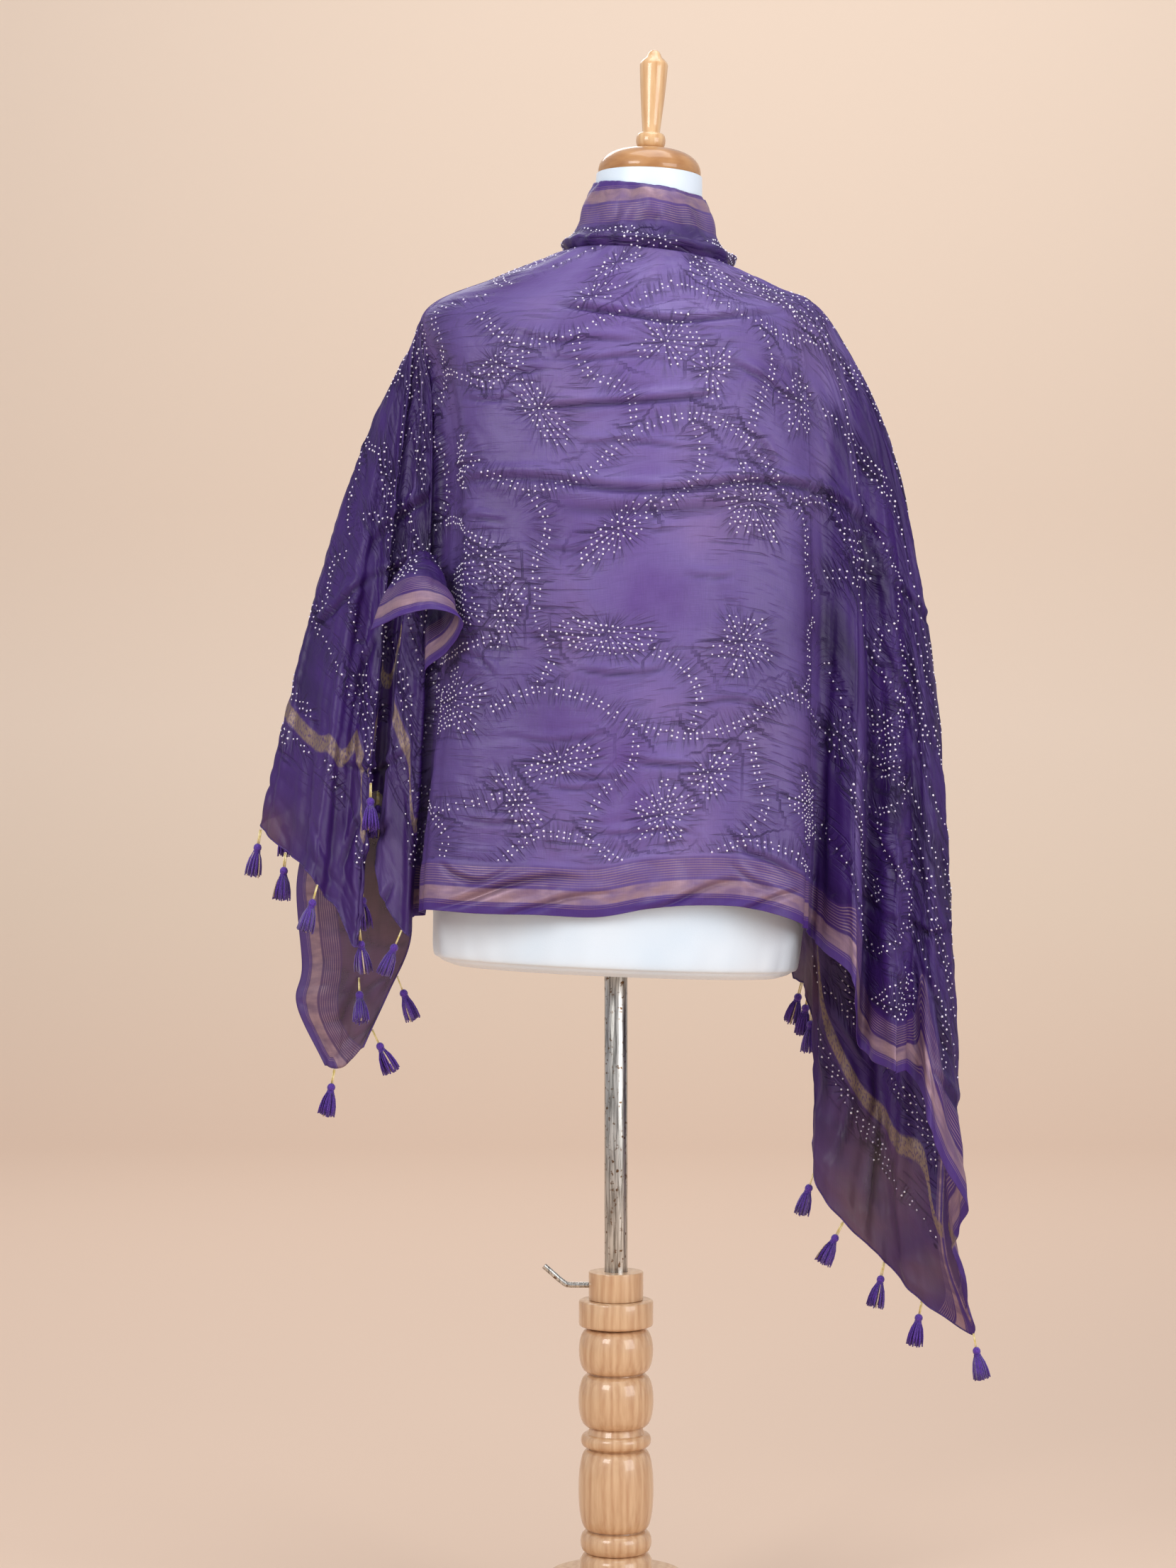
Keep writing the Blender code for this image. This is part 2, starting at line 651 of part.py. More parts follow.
def hang_tassel(name, data, point, out, row):
    """Hangs a tassel from an edge: where the edge is steep, it leans out clear of the cloth beside it."""
    made = bpy.data.objects.new(name, data)
    PARTS.objects.link(made)
    level = Vector((out.x, out.y, 0))
    clear = TASSEL_GAP + TASSEL_BEAD_RADIUS * level.length
    if row["side"] == "face":
        clear += CLOTH_WALL / 2
        level *= 0
    lean_x, lean_y = row["lean_x"], row["lean_y"]
    made.location = point + out * clear
    hang = Vector((0, 0, -1)) + level * TASSEL_LEAN
    hang += Vector((math.tan(math.radians(lean_x)), math.tan(math.radians(lean_y)), 0))
    made.rotation_mode = "QUATERNION"
    made.rotation_quaternion = Vector((0, 0, -1)).rotation_difference(hang)


def on_facets(curve, place, steps):
    """The point of a curve's facets at place, where the wall has corners at every 1 / steps."""
    corner = math.floor(place * steps)
    return curve(corner / steps).lerp(curve((corner + 1) / steps), place * steps - corner)


def foot_point(fold_place):
    return on_facets(lambda place: cloth_point(place, 1.0), fold_place, ACROSS_FOLD)


def hidden_places(first, last):
    """Places a tassel's spacing apart along the cloth's edge, from one fold line to another."""
    start, end = FOLD_INDEX[first], FOLD_INDEX[last]
    samples = 400
    walked = 0.0
    before = foot_point(start)
    places = []
    for index in range(1, samples + 1):
        place = start + (end - start) * index / samples
        point = foot_point(place)
        walked += (point - before).length
        before = point
        if walked >= TASSEL_SPACING * (len(places) + 1):
            places.append(place)
    return places


def make_tassels():
    data = tassel_mesh()
    hung = [(FOLD_INDEX[row["fold"]] + row["on"], row) for row in rows(TASSEL_COLUMNS, TASSELS)]
    for first, last, lean_y in (("left outline", "left corner a", 6), ("right front ridge", "right corner a", 12)):
        hidden = {"down": 1.0, "side": "foot", "lean_x": 0, "lean_y": lean_y}
        hung += [(place, hidden) for place in hidden_places(first, last)]
    for number, (place, row) in enumerate(hung):
        out = edge_outward(cloth_point, place, row["down"], row["side"])
        point = foot_point(place) if row["side"] == "foot" else cloth_point(place, row["down"])
        hang_tassel(f"tassel_{number + 1:02d}", data, point, out, row)

    def end_surface(u, v):
        return on_rows(LEFT_END_ROWS, u, v)

    for number, row in enumerate(rows(END_TASSEL_COLUMNS, END_TASSELS)):
        u, v = row["across"], row["down"]
        out = edge_outward(end_surface, u, v, row["side"])
        point = end_surface(u, v)
        if row["side"] == "foot":
            point = on_facets(lambda place: end_surface(place, 1.0), u, LEFT_END_ACROSS)
        if row["side"] == "edge":
            point = on_facets(lambda place: end_surface(1.0, place), v, LEFT_END_DOWN)
        hang_tassel(f"tassel_end_{number + 1}", data, point, out, row)


for old in list(bpy.data.objects):
    bpy.data.objects.remove(old)
PARTS = new_collection("dupatta_on_dress_form")
CUTTERS = new_collection("cutters")
SILK = new_material("purple silk", (0.085, 0.030, 0.190), 0.45)
THREAD = new_material("tassel thread", (0.120, 0.030, 0.330), 0.6)
WOOD = new_material("varnished wood", (0.62, 0.36, 0.13), 0.35)
FORM_CLOTH = new_material("white form cover", (0.82, 0.86, 0.90), 0.6)
STEEL = new_material("worn chromed steel", (0.60, 0.60, 0.58), 0.25, 1.0)

make_stand()
make_form()
for stretch_row in rows(STRETCH_COLUMNS, STRETCHES):
    stretch(stretch_row)
make_collar()
make_left_end()
make_ruffle()
make_tassels()
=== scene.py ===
# %% [markdown]
# # A tie-dyed dupatta stole on a dress form
# A long silk stole, tie-dyed with white dots and woven with a metal-thread border, goes round the neck of a
# dress form, down its back and over both shoulders. The form stands on a turned wooden stand. This notebook
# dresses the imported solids: it never moves them, it only replaces the plain ones with finer surfaces.

# %% Load the frame
import math

import bmesh
import bpy
import numpy as np
from mathutils import Matrix, Vector
from mathutils.kdtree import KDTree


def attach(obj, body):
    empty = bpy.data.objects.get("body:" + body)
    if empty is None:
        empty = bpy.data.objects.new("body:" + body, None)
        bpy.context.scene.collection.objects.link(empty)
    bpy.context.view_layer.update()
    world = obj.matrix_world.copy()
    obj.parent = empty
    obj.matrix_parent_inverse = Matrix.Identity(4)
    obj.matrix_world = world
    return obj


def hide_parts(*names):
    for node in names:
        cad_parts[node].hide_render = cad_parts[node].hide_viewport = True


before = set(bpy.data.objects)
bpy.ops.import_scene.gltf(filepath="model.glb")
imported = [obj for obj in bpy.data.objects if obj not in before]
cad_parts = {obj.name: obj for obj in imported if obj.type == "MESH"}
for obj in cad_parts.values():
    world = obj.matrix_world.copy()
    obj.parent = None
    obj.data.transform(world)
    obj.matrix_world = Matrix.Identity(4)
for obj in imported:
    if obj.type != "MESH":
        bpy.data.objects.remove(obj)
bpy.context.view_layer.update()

MM = 0.001
SCENE = bpy.context.scene

# %% [markdown]
# ## Camera
# The photograph was taken level, from about three metres behind the form, at the height of its waist. The
# lens follows from that distance and from the real height that the frame's long side takes in.

# %% Camera
PHOTO_SIZE = (1659, 2212)
METRES_PER_PIXEL = 0.00069
CAMERA_DISTANCE = 3.2
SENSOR = 36.0
camera_data = bpy.data.cameras.new("camera")
camera_data.sensor_width = SENSOR
camera_data.lens = SENSOR * CAMERA_DISTANCE / (PHOTO_SIZE[1] * METRES_PER_PIXEL)
camera = bpy.data.objects.new("camera", camera_data)
camera.location = (-0.02725, -CAMERA_DISTANCE, 0.833)
camera.rotation_euler = (math.radians(90), 0, 0)
SCENE.collection.objects.link(camera)
SCENE.camera = camera
print("lens:", round(camera_data.lens, 1), "mm")

# %% [markdown]
# ## Colours, nodes, materials and pieces
# A colour on screen is written as a hex value, but shaders count in linear light, so one function turns the
# one into the other. A second adds a node, sets it and links it. The rest start a material and put a
# finished mesh into the scene, so that each finish and each piece below takes only a few lines.

# %% Helpers
ONE_POINT = 0.00001


def linear(hex_colour):
    """An sRGB hex colour as linear red, green, blue and 1."""
    channels = [int(hex_colour[index:index + 2], 16) / 255 for index in (1, 3, 5)]
    return (*[c / 12.92 if c <= 0.04045 else ((c + 0.055) / 1.055) ** 2.4 for c in channels], 1.0)


def node(tree, kind, inputs=None, output=0, stops=(), **settings):
    """Adds a node and gives one of its outputs.

    settings are the node's own properties, and inputs are numbers, colours or other nodes' outputs. stops are
    the places and colours of a colour ramp, where a plain number means that grey.
    """
    made = tree.nodes.new("ShaderNode" + kind)
    for name, value in settings.items():
        setattr(made, name, value)
    for index, (place, colour) in enumerate(stops):
        elements = made.color_ramp.elements
        stop = elements[index] if index < 2 else elements.new(place)
        stop.position = place
        stop.color = linear(colour) if isinstance(colour, str) else (colour, colour, colour, 1)
    for name, value in (inputs or {}).items():
        if isinstance(value, bpy.types.NodeSocket):
            tree.links.new(value, made.inputs[name])
        else:
            made.inputs[name].default_value = value
    return made.outputs[output]


PLUS = {"operation": "ADD"}
TIMES = {"operation": "MULTIPLY"}
LARGER = {"operation": "MAXIMUM"}
COLOURS = {"data_type": "RGBA"}


def new_material(name, finish):
    """A material, its node tree and its shader, which gets the finish's values on its own sockets."""
    made = bpy.data.materials.new(name)
    made.use_nodes = True
    shader = made.node_tree.nodes["Principled BSDF"]
    for socket, value in finish.items():
        shader.inputs[socket].default_value = value
    return made, made.node_tree, shader


def paint(shader, outputs):
    """Links outputs of nodes to the shader's inputs of those names."""
    for name, output in outputs.items():
        shader.id_data.links.new(output, shader.inputs[name])


def speckled(name, finish, stops, scale, detail=2.0, relief=0.0):
    """A material in two tones, in specks that are scale to the metre; relief is how far they stand out."""
    made, tree, shader = new_material(name, finish)
    place = node(tree, "TexCoord", output="Object")
    specks = node(tree, "TexNoise", {"Vector": place, "Scale": scale, "Detail": detail})
    paint(shader, {"Base Color": node(tree, "ValToRGB", {0: specks}, stops=stops)})
    if relief:
        paint(shader, {"Normal": node(tree, "Bump", {"Height": specks, "Distance": relief, "Strength": 1.0})})
    return made


def mesh_from(name, bm):
    """The mesh of a bmesh, which is freed."""
    mesh = bpy.data.meshes.new(name)
    bm.to_mesh(mesh)
    bm.free()
    return mesh


def mesh_of(thing):
    """The mesh that an object shows, with its curve or its modifiers carried out."""
    bpy.context.view_layer.update()
    return bpy.data.meshes.new_from_object(thing.evaluated_get(bpy.context.evaluated_depsgraph_get()))


def rod_mesh(name, path, radius, resolution):
    """The mesh of a round rod along a path, closed at both ends."""
    curve = bpy.data.curves.new(name, "CURVE")
    curve.dimensions = "3D"
    curve.bevel_depth = radius
    curve.bevel_resolution = resolution
    curve.use_fill_caps = True
    line = curve.splines.new("POLY")
    line.points.add(len(path) - 1)
    for point, place in zip(line.points, path):
        point.co = (*place, 1)
    maker = bpy.data.objects.new(name + "_path", curve)
    SCENE.collection.objects.link(maker)
    mesh = mesh_of(maker)
    bpy.data.objects.remove(maker)
    return mesh


def finished(name, mesh, materials, body, nodes=()):
    """A smooth piece that rides a body and stands for the solids that nodes names."""
    mesh.shade_smooth()
    for material in materials:
        mesh.materials.append(material)
    made = bpy.data.objects.new(name, mesh)
    SCENE.collection.objects.link(made)
    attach(made, body)
    if nodes:
        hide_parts(*nodes)
    return made


# %% [markdown]
# ## The stole's drape
# The cloth is described as fold lines. Each leaves the collar, goes over the shoulder and hangs to the
# cloth's edge. The table gives where each one ends, and the cloth is a smooth surface from one line to the
# next. The same table made the solids, so the finer cloth lies exactly on them.

# %% Fold lines
NECK_RING = {"x": 0.032, "half_width": 0.079, "half_depth": 0.078, "z": 1.343, "lean_drop": 0.008}
SHOULDER_RING = {"x": 0.008, "half_width": 0.197, "half_depth": 0.110, "side_z": 1.288, "back_z": 1.252}
YOKE_RISE = 0.005
FALL_SHARES = (0.14, 0.34, 0.55, 0.75, 0.90, 1.0)
NECK_SEAM = 0.002

# Name, turn round the body in degrees, where it ends in millimetres (x, y, z), how far it bows sideways, how
# late it leaves the straight line in depth, and how far it draws in just above its end
FOLD_COLUMNS = ("name", "turn", "x", "y", "z", "bow", "late", "flick")
FOLDS = (
    ("left corner a", -174, -118, 136, 1010, 0, 1.0, 0),
    ("left front trough", -163, -160, 112, 975, 0, 1.0, 0),
    ("left front ridge", -152, -205, 124, 925, 0, 1.0, 0),
    ("left front hollow", -140, -248, 86, 880, -5, 1.0, 0),
    ("left front roll", -128, -292, 84, 838, -15, 1.0, 0),
    ("left outline front", -117, -330, 44, 806, -28, 1.0, 0),
    ("left outline", -108, -347, -5, 792, -30, 1.0, 0),
    ("left face trough", -103, -318, -36, 768, -28, 1.0, 0),
    ("left face ridge", -99, -290, -74, 745, -20, 1.0, 0),
    ("left face hollow", -96, -268, -60, 716, -12, 1.0, 0),
    ("left face fold", -93, -246, -80, 682, -8, 1.0, 0),
    ("inner pleat", -91, -240, -34, 815, -2, 1.0, 0),
    ("inner pleat far", -89, -221, -32, 812, 2, 1.0, 0),
    ("second face", -87, -228, -58, 738, 6, 1.0, 0),
    ("second fold", -84.5, -199, -76, 689, 11, 1.0, 0),
    ("left recess", -82, -195, -52, 704, 14, 1.0, 0),
    ("left recess far", -80, -188, -52, 708, 21, 1.0, 0),
    ("back left fold", -77, -183, -108, 715, 33, 0.8, 0),
    ("back left", -52, -131, -131, 712, 4, 0.8, 0),
    ("back left blade", -32, -73, -139, 711, 0, 0.8, 0),
    ("back centre left", -12, -18, -138, 709, 0, 0.8, 0),
    ("back centre right", 8, 30, -141, 717, 0, 0.8, 0),
    ("back right blade", 27, 78, -137, 720, 0, 0.8, 0),
    ("back right", 42, 125, -132, 717, 2, 0.8, 0),
    ("back right fold", 54, 176, -110, 701, 6, 1.0, 0),
    ("right recess", 60, 183, -52, 690, 12, 1.4, 0),
    ("border start", 66, 196, -55, 677, 18, 1.4, 0),
    ("border ruffle", 71, 224, -92, 644, 24, 1.4, 0),
    ("border trough", 76, 236, -52, 578, 30, 1.3, 0),
    ("flounce", 80, 264, -94, 560, 40, 1.2, 0),
    ("flounce hollow", 83.5, 282, -54, 556, 44, 1.1, 0),
    ("right face ridge", 87, 302, -66, 497, 50, 1.0, 0),
    ("right face", 91, 332, -38, 428, 54, 1.0, 0),
    ("right outline", 96, 332, -4, 370, 54, 1.0, -6),
    ("right corner b", 102, 353, 28, 294, 34, 1.0, -18),
    ("end trough", 108, 303, 46, 324, 34, 1.0, -12),
    ("end ridge", 115, 268, 68, 359, 28, 1.0, 0),
    ("end hollow", 122, 228, 58, 398, 24, 1.0, 0),
    ("end fold", 128, 198, 72, 450, 20, 1.0, 0),
    ("end inner", 133, 205, 80, 556, 16, 1.0, 0),
    ("end pleat", 138, 194, 92, 625, 12, 1.0, 0),
    ("end pleat edge", 143, 188, 106, 636, 8, 1.0, 0),
    ("right front ridge", 148, 176, 116, 652, 6, 1.0, 0),
    ("right front hollow", 155, 142, 108, 770, 4, 1.0, 0),
    ("right front roll", 161, 96, 134, 900, 0, 1.0, 0),
    ("right front trough", 167, 52, 124, 1020, 0, 1.0, 0),
    ("right corner a", 173, 8, 143, 1118, 0, 1.0, 0),
)
FOLD_ROWS = [dict(zip(FOLD_COLUMNS, row)) for row in FOLDS]
FOLD_INDEX = {row["name"]: index for index, row in enumerate(FOLD_ROWS)}
print("fold lines:", len(FOLD_ROWS), "first ends at", FOLDS[0][2:5], "mm")

# %% [markdown]
# ## From fold lines to a surface
# A smooth curve is a weighted mean of the four points round each place on it. With the weights in one
# table, the whole surface comes out of the fold table in one multiplication, which is quicker than a
# modifier and gives each point's place round the body and down the cloth for free.

# %% The draped surface
def spline_weights(places, count):
    """Weights that read a smooth curve through count evenly counted points at each of the places."""
    places = np.asarray(places, float)
    weights = np.zeros((len(places), count))
    rows = np.arange(len(places))
    index = np.clip(places.astype(int), 0, count - 2)
    t = places - index
    shares = (
        (-1, 0.5 * (-t + 2 * t**2 - t**3)),
        (0, 0.5 * (2 - 5 * t**2 + 3 * t**3)),
        (1, 0.5 * (t + 4 * t**2 - 3 * t**3)),
        (2, 0.5 * (t**3 - t**2)),
    )
    for offset, share in shares:
        at = index + offset
        before, after = at < 0, at > count - 1
        inside = ~(before | after)
        weights[rows[inside], at[inside]] += share[inside]
        weights[rows[before], 0] += 2 * share[before]
        weights[rows[before], 1] -= share[before]
        weights[rows[after], count - 1] += 2 * share[after]
        weights[rows[after], count - 2] -= share[after]
    return weights


def neck_points(turn):
    """Where the cloth leaves the collar."""
    ring = NECK_RING
    return np.stack([
        ring["x"] + ring["half_width"] * np.sin(turn),
        -ring["half_depth"] * np.cos(turn),
        ring["z"] - ring["lean_drop"] * np.sin(turn),
    ], -1)


def shoulder_points(turn):
    """Where the cloth turns over the shoulders and begins to hang."""
    ring = SHOULDER_RING
    side = np.sin(turn) ** 2
    return np.stack([
        ring["x"] + ring["half_width"] * np.sin(turn),
        -ring["half_depth"] * np.cos(turn),
        ring["back_z"] + (ring["side_z"] - ring["back_z"]) * side,
    ], -1)


def drape(fold_places, downs):
    """Points of the cloth's middle, as an array of rows (down the cloth) of columns (round the body)."""
    fold_places = np.asarray(fold_places, float)
    table = np.array([[row[key] for key in FOLD_COLUMNS[1:]] for row in FOLD_ROWS], float)
    values = spline_weights(fold_places, len(table)) @ table
    turn = np.radians(np.interp(fold_places, np.arange(len(table)), table[:, 0]))
    ends = values[:, 1:4] * MM
    bow, late, flick = values[:, 4] * MM, values[:, 5], values[:, 6] * MM
    neck, shoulder = neck_points(turn), shoulder_points(turn)
    knots = [neck, (neck + shoulder) / 2 + [0, 0, YOKE_RISE], shoulder]
    for share in FALL_SHARES:
        across = (ends[:, 0] - shoulder[:, 0]) * share
        sideways = bow * math.sin(math.pi * share**0.6) + flick * math.sin(math.pi * share**8)
        knots.append(np.stack([
            shoulder[:, 0] + across + sideways,
            shoulder[:, 1] + (ends[:, 1] - shoulder[:, 1]) * share**late,
            shoulder[:, 2] + (ends[:, 2] - shoulder[:, 2]) * share,
        ], -1))
    weights = spline_weights(np.asarray(downs) * (len(knots) - 1), len(knots))
    return np.einsum("dk,kcx->dcx", weights, np.array(knots))


print("shoulder point:", drape([FOLD_INDEX["back centre left"]], [0.25])[0, 0])

# %% [markdown]
# ## The cut of the cloth
# Patterns follow the woven cloth, so every point of the drape also needs its place in the flat cut: how far
# it is from the tasselled short end and from the bordered long edge. Each fold line starts at a place on
# the edge and climbs away from it at the angle that the draped surface itself has there.

# %% Places in the flat cut
# A distance that is past every pattern of the edges
FAR = 0.50


def arc_lengths(points, axis):
    """Lengths along the given axis of an array of points, from its first."""
    steps = np.linalg.norm(np.diff(points, axis=axis), axis=-1)
    start = np.zeros_like(np.take(steps, [0], axis=axis))
    return np.cumsum(np.concatenate([start, steps], axis=axis), axis=axis)


def smoothed(values, reach):
    """A running mean over reach values to each side."""
    padded = np.pad(values, reach, mode="edge")
    return np.convolve(padded, np.ones(2 * reach + 1) / (2 * reach + 1), mode="valid")


def cut_places(points, fold_places, corner):
    """How far each point is from the short end and from the long edge.

    Left of the fold place corner the foot of the cloth is the long edge and right of it the short end. None
    means that the whole foot is a short end, and a place beyond the last column that it is all long edge.
    """
    foot = points[-1]
    climbed = arc_lengths(points[::-1], 0)[::-1]
    walked = arc_lengths(foot, 0)
    edge = np.gradient(foot, axis=0)
    edge /= np.linalg.norm(edge, axis=1, keepdims=True)
    above = points[-1 - min(12, len(points) - 2)] - foot
    above /= np.linalg.norm(above, axis=1, keepdims=True)
    along = smoothed((edge * above).sum(1), 5)
    if corner is None:
        return climbed * np.sqrt(np.clip(1 - along**2, 0.42, 1)), np.full_like(climbed, FAR)
    steep = np.sqrt(np.clip(1 - along**2, 0.12, 1))
    at_corner = np.interp(corner, fold_places, walked)
    hem = fold_places <= corner
    to_corner = np.abs(walked - at_corner)
    from_edge = climbed * steep
    from_corner = to_corner + climbed * np.where(hem, -along, along)
    from_end = np.where(hem, from_corner, from_edge)
    from_hem = np.where(hem, from_edge, from_corner)
    if corner > fold_places[-1]:
        from_end = np.full_like(climbed, FAR)
    return np.clip(from_end, 0, FAR), np.clip(from_hem, 0, FAR)


print("edge patterns reach less than", FAR, "m into the cloth")

# %% [markdown]
# ## Wrinkles
# Tie-dyed silk keeps the creases of its tying. Fine crumple comes from smooth noise that is folded about
# its middle, which leaves sharp valleys between soft rolls.

# %% Noise
RANDOM = np.random.default_rng(7)
LATTICE_SIZE = 128
LATTICE = RANDOM.random((6, LATTICE_SIZE, LATTICE_SIZE))


def noise(x, y, layer=0):
    """Smooth noise from 0 to 1 with one bump for each unit of x and y."""
    xi, yi = np.floor(x).astype(int), np.floor(y).astype(int)
    tx, ty = x - xi, y - yi
    tx, ty = tx * tx * (3 - 2 * tx), ty * ty * (3 - 2 * ty)
    grid = LATTICE[layer]

    def corner(dx, dy):
        return grid[(xi + dx) % LATTICE_SIZE, (yi + dy) % LATTICE_SIZE]

    low = corner(0, 0) * (1 - tx) + corner(1, 0) * tx
    high = corner(0, 1) * (1 - tx) + corner(1, 1) * tx
    return low * (1 - ty) + high * ty


def crumple(x, y, layer=0):
    """Soft rolls between sharp valleys, from -1 in a valley to about 0 on a roll."""
    return np.abs(1 - 2 * noise(x, y, layer)) ** 0.8 - 1


# %% [markdown]
# ## Creases placed one by one
# The large creases are lines on the body, each a narrow trough with a rounded ridge beside it. They lie
# where such a drape shows them: across the back, under the collar, above the hem and down the wings.

# %% Creases
# Depth and half width in millimetres, then the line's points (x, z). The front reads the same table mirrored
CREASES = (
    (3.0, 4.2, ((-60, 1288), (-37, 1283), (10, 1276), (52, 1270), (99, 1274), (166, 1284))),
    (1.8, 4.0, ((-100, 1262), (-60, 1250), (-20, 1252), (20, 1249))),
    (1.6, 3.5, ((-70, 1237), (-30, 1232), (20, 1236), (60, 1226))),
    (3.4, 4.6, ((-75, 1186), (-57, 1188), (4, 1191), (71, 1196), (98, 1202))),
    (2.0, 3.5, ((-44, 1155), (-20, 1153), (11, 1154), (52, 1150), (70, 1146))),
    (4.6, 5.6, ((-160, 1117), (-125, 1121), (-70, 1120), (-16, 1111), (38, 1108), (85, 1112), (119, 1117),
                (173, 1116), (211, 1104), (245, 1078), (262, 1050))),
    (2.2, 9.0, ((-60, 1093), (-10, 1089), (60, 1090), (132, 1096))),
    (1.8, 3.4, ((-150, 1086), (-125, 1083), (-104, 1080))),
    (1.4, 3.0, ((24, 1073), (40, 1070), (58, 1072))),
    (1.6, 3.2, ((-72, 1056), (-48, 1052), (-24, 1052))),
    (2.4, 3.4, ((-40, 941), (-10, 936), (28, 937), (48, 943))),
    (2.0, 3.2, ((-16, 957), (6, 955), (30, 957))),
    (1.8, 3.2, ((-86, 976), (-72, 969), (-56, 958))),
    (2.2, 3.6, ((-58, 842), (-30, 839), (2, 838))),
    (2.4, 3.6, ((14, 853), (44, 851), (86, 848))),
    (1.6, 3.0, ((-60, 829), (-36, 828), (-10, 830))),
    (1.8, 3.4, ((-176, 1130), (-150, 1136), (-122, 1142))),
    (1.8, 3.2, ((78, 1150), (98, 1142), (122, 1128))),
    (1.6, 3.0, ((-168, 1095), (-150, 1088), (-138, 1094))),
    (1.5, 3.4, ((-150, 1200), (-120, 1196), (-84, 1200))),
    (1.6, 4.0, ((-120, 1236), (-96, 1222), (-62, 1224))),
    (1.8, 4.6, ((96, 1236), (130, 1220), (170, 1196))),
    (1.6, 4.0, ((120, 1172), (140, 1150), (150, 1128))),
    (1.5, 6.0, ((150, 1242), (186, 1200), (206, 1150))),
    (1.4, 3.2, ((60, 1030), (92, 1027), (112, 1030))),
    (1.6, 3.4, ((-112, 1010), (-94, 1000), (-90, 980))),
    (1.5, 3.4, ((-150, 960), (-128, 950), (-112, 930))),
    (1.8, 3.6, ((70, 905), (110, 912), (150, 900))),
    (1.5, 3.2, ((-108, 880), (-70, 873), (-30, 876), (0, 884))),
    (1.5, 3.4, ((-150, 800), (-110, 796), (-70, 800))),
    (1.5, 3.0, ((-40, 790), (0, 786), (50, 790), (80, 784))),
    (2.2, 4.6, ((100, 790), (122, 770), (150, 758), (172, 742))),
    (1.6, 3.8, ((104, 760), (128, 742), (150, 732))),
    (2.0, 4.0, ((-168, 760), (-152, 748), (-128, 742), (-100, 752))),
    (3.0, 5.0, ((-172, 716), (-142, 724), (-104, 738), (-64, 746), (-30, 744))),
    (2.4, 4.4, ((-110, 708), (-78, 718), (-40, 728), (0, 732))),
    (2.6, 4.6, ((20, 712), (52, 722), (88, 738), (118, 744))),
    (2.4, 4.0, ((90, 708), (122, 716), (150, 728), (172, 732))),
    (2.4, 4.2, ((256, 1032), (276, 1018), (301, 994), (318, 984))),
    (2.0, 4.2, ((214, 1054), (236, 1040), (262, 1032))),
    (2.0, 5.0, ((246, 980), (262, 950), (268, 910))),
    (2.0, 4.4, ((216, 870), (240, 850), (262, 846), (300, 862))),
    (2.4, 4.4, ((236, 800), (250, 778), (262, 752), (266, 730))),
    (2.0, 4.0, ((262, 806), (272, 782), (282, 752))),
    (2.2, 4.4, ((280, 700), (300, 690), (330, 694))),
    (1.8, 4.0, ((232, 742), (246, 716), (270, 700))),
    (2.2, 4.6, ((290, 660), (304, 630), (310, 596), (322, 570))),
    (2.0, 4.4, ((262, 664), (272, 640), (284, 610))),
    (1.8, 4.0, ((318, 760), (330, 730), (334, 690))),
    (2.0, 4.2, ((300, 560), (318, 540), (334, 512))),
    (4.0, 6.0, ((-244, 520), (-240, 496), (-234, 460), (-228, 420), (-226, 392))),
    (3.2, 5.0, ((-214, 520), (-208, 492), (-198, 456))),
    (3.2, 5.0, ((-270, 470), (-264, 446), (-254, 418), (-250, 396))),
    (3.6, 5.4, ((-286, 446), (-280, 414), (-276, 380), (-272, 350))),
    (3.0, 4.6, ((-184, 566), (-190, 540), (-186, 508))),
    (2.8, 4.6, ((-300, 400), (-292, 372), (-288, 340))),
    (2.6, 4.4, ((-200, 600), (-216, 574), (-226, 552))),
)


def spread(points, count):
    """A smooth curve through the points, read at count places."""
    return spline_weights(np.linspace(0, len(points) - 1, count), len(points)) @ np.array(points, float)


# The table's depths and widths as drawn: deeper and narrower than it says, so that they read as sharp
CREASE_DEPTH = 1.4
CREASE_WIDTH = 0.58


def crease_heights(x, z, creases):
    """How far creases move each point in or out, in metres, and how much painted shade its valley gets, from
    0 to 1.
    """
    heights, valleys = np.zeros_like(x), np.zeros_like(x)
    for depth, width, points in creases:
        line = spread(points, 6 * len(points)) * MM
        reach = 5 * width * MM
        near = (x > line[:, 0].min() - reach) & (x < line[:, 0].max() + reach)
        near &= (z > line[:, 1].min() - reach) & (z < line[:, 1].max() + reach)
        px, pz = x[near], z[near]
        best = np.full(px.shape, 1e9)
        signed = np.zeros(px.shape)
        share = np.zeros(px.shape)
        for index, (a, b) in enumerate(zip(line, line[1:])):
            side = b - a
            length = np.linalg.norm(side)
            t = np.clip(((px - a[0]) * side[0] + (pz - a[1]) * side[1]) / length**2, 0, 1)
            dx, dz = px - (a[0] + side[0] * t), pz - (a[1] + side[1] * t)
            distance = np.hypot(dx, dz)
            closer = distance < best
            best = np.where(closer, distance, best)
            signed = np.where(closer, distance * np.sign(side[0] * dz - side[1] * dx), signed)
            share = np.where(closer, (index + t) / (len(line) - 1), share)
        taper = np.sin(math.pi * np.clip(share, 0, 1)) ** 0.7
        q = signed / (CREASE_WIDTH * width * MM)
        roll = np.exp(-(((q - 2.2) / 1.7) ** 2)) + 0.3 * np.exp(-(((q + 2.4) / 1.7) ** 2))
        heights[near] += CREASE_DEPTH * depth * MM * taper * (0.9 * roll - np.exp(-(q**2)))
        # Painted shade: the deeper the crease, the darker its valley is coloured
        valleys[near] = np.maximum(valleys[near], np.clip(depth / 3.0, 0.3, 1) * taper * np.exp(-(q**2)))
    return heights, valleys


def normals_of(points):
    """Unit normals of an array of rows and columns of points, away from the body."""
    down, round_body = np.gradient(points, axis=0), np.gradient(points, axis=1)
    normal = np.cross(down, round_body)
    return normal / np.maximum(np.linalg.norm(normal, axis=-1, keepdims=True), 1e-9)


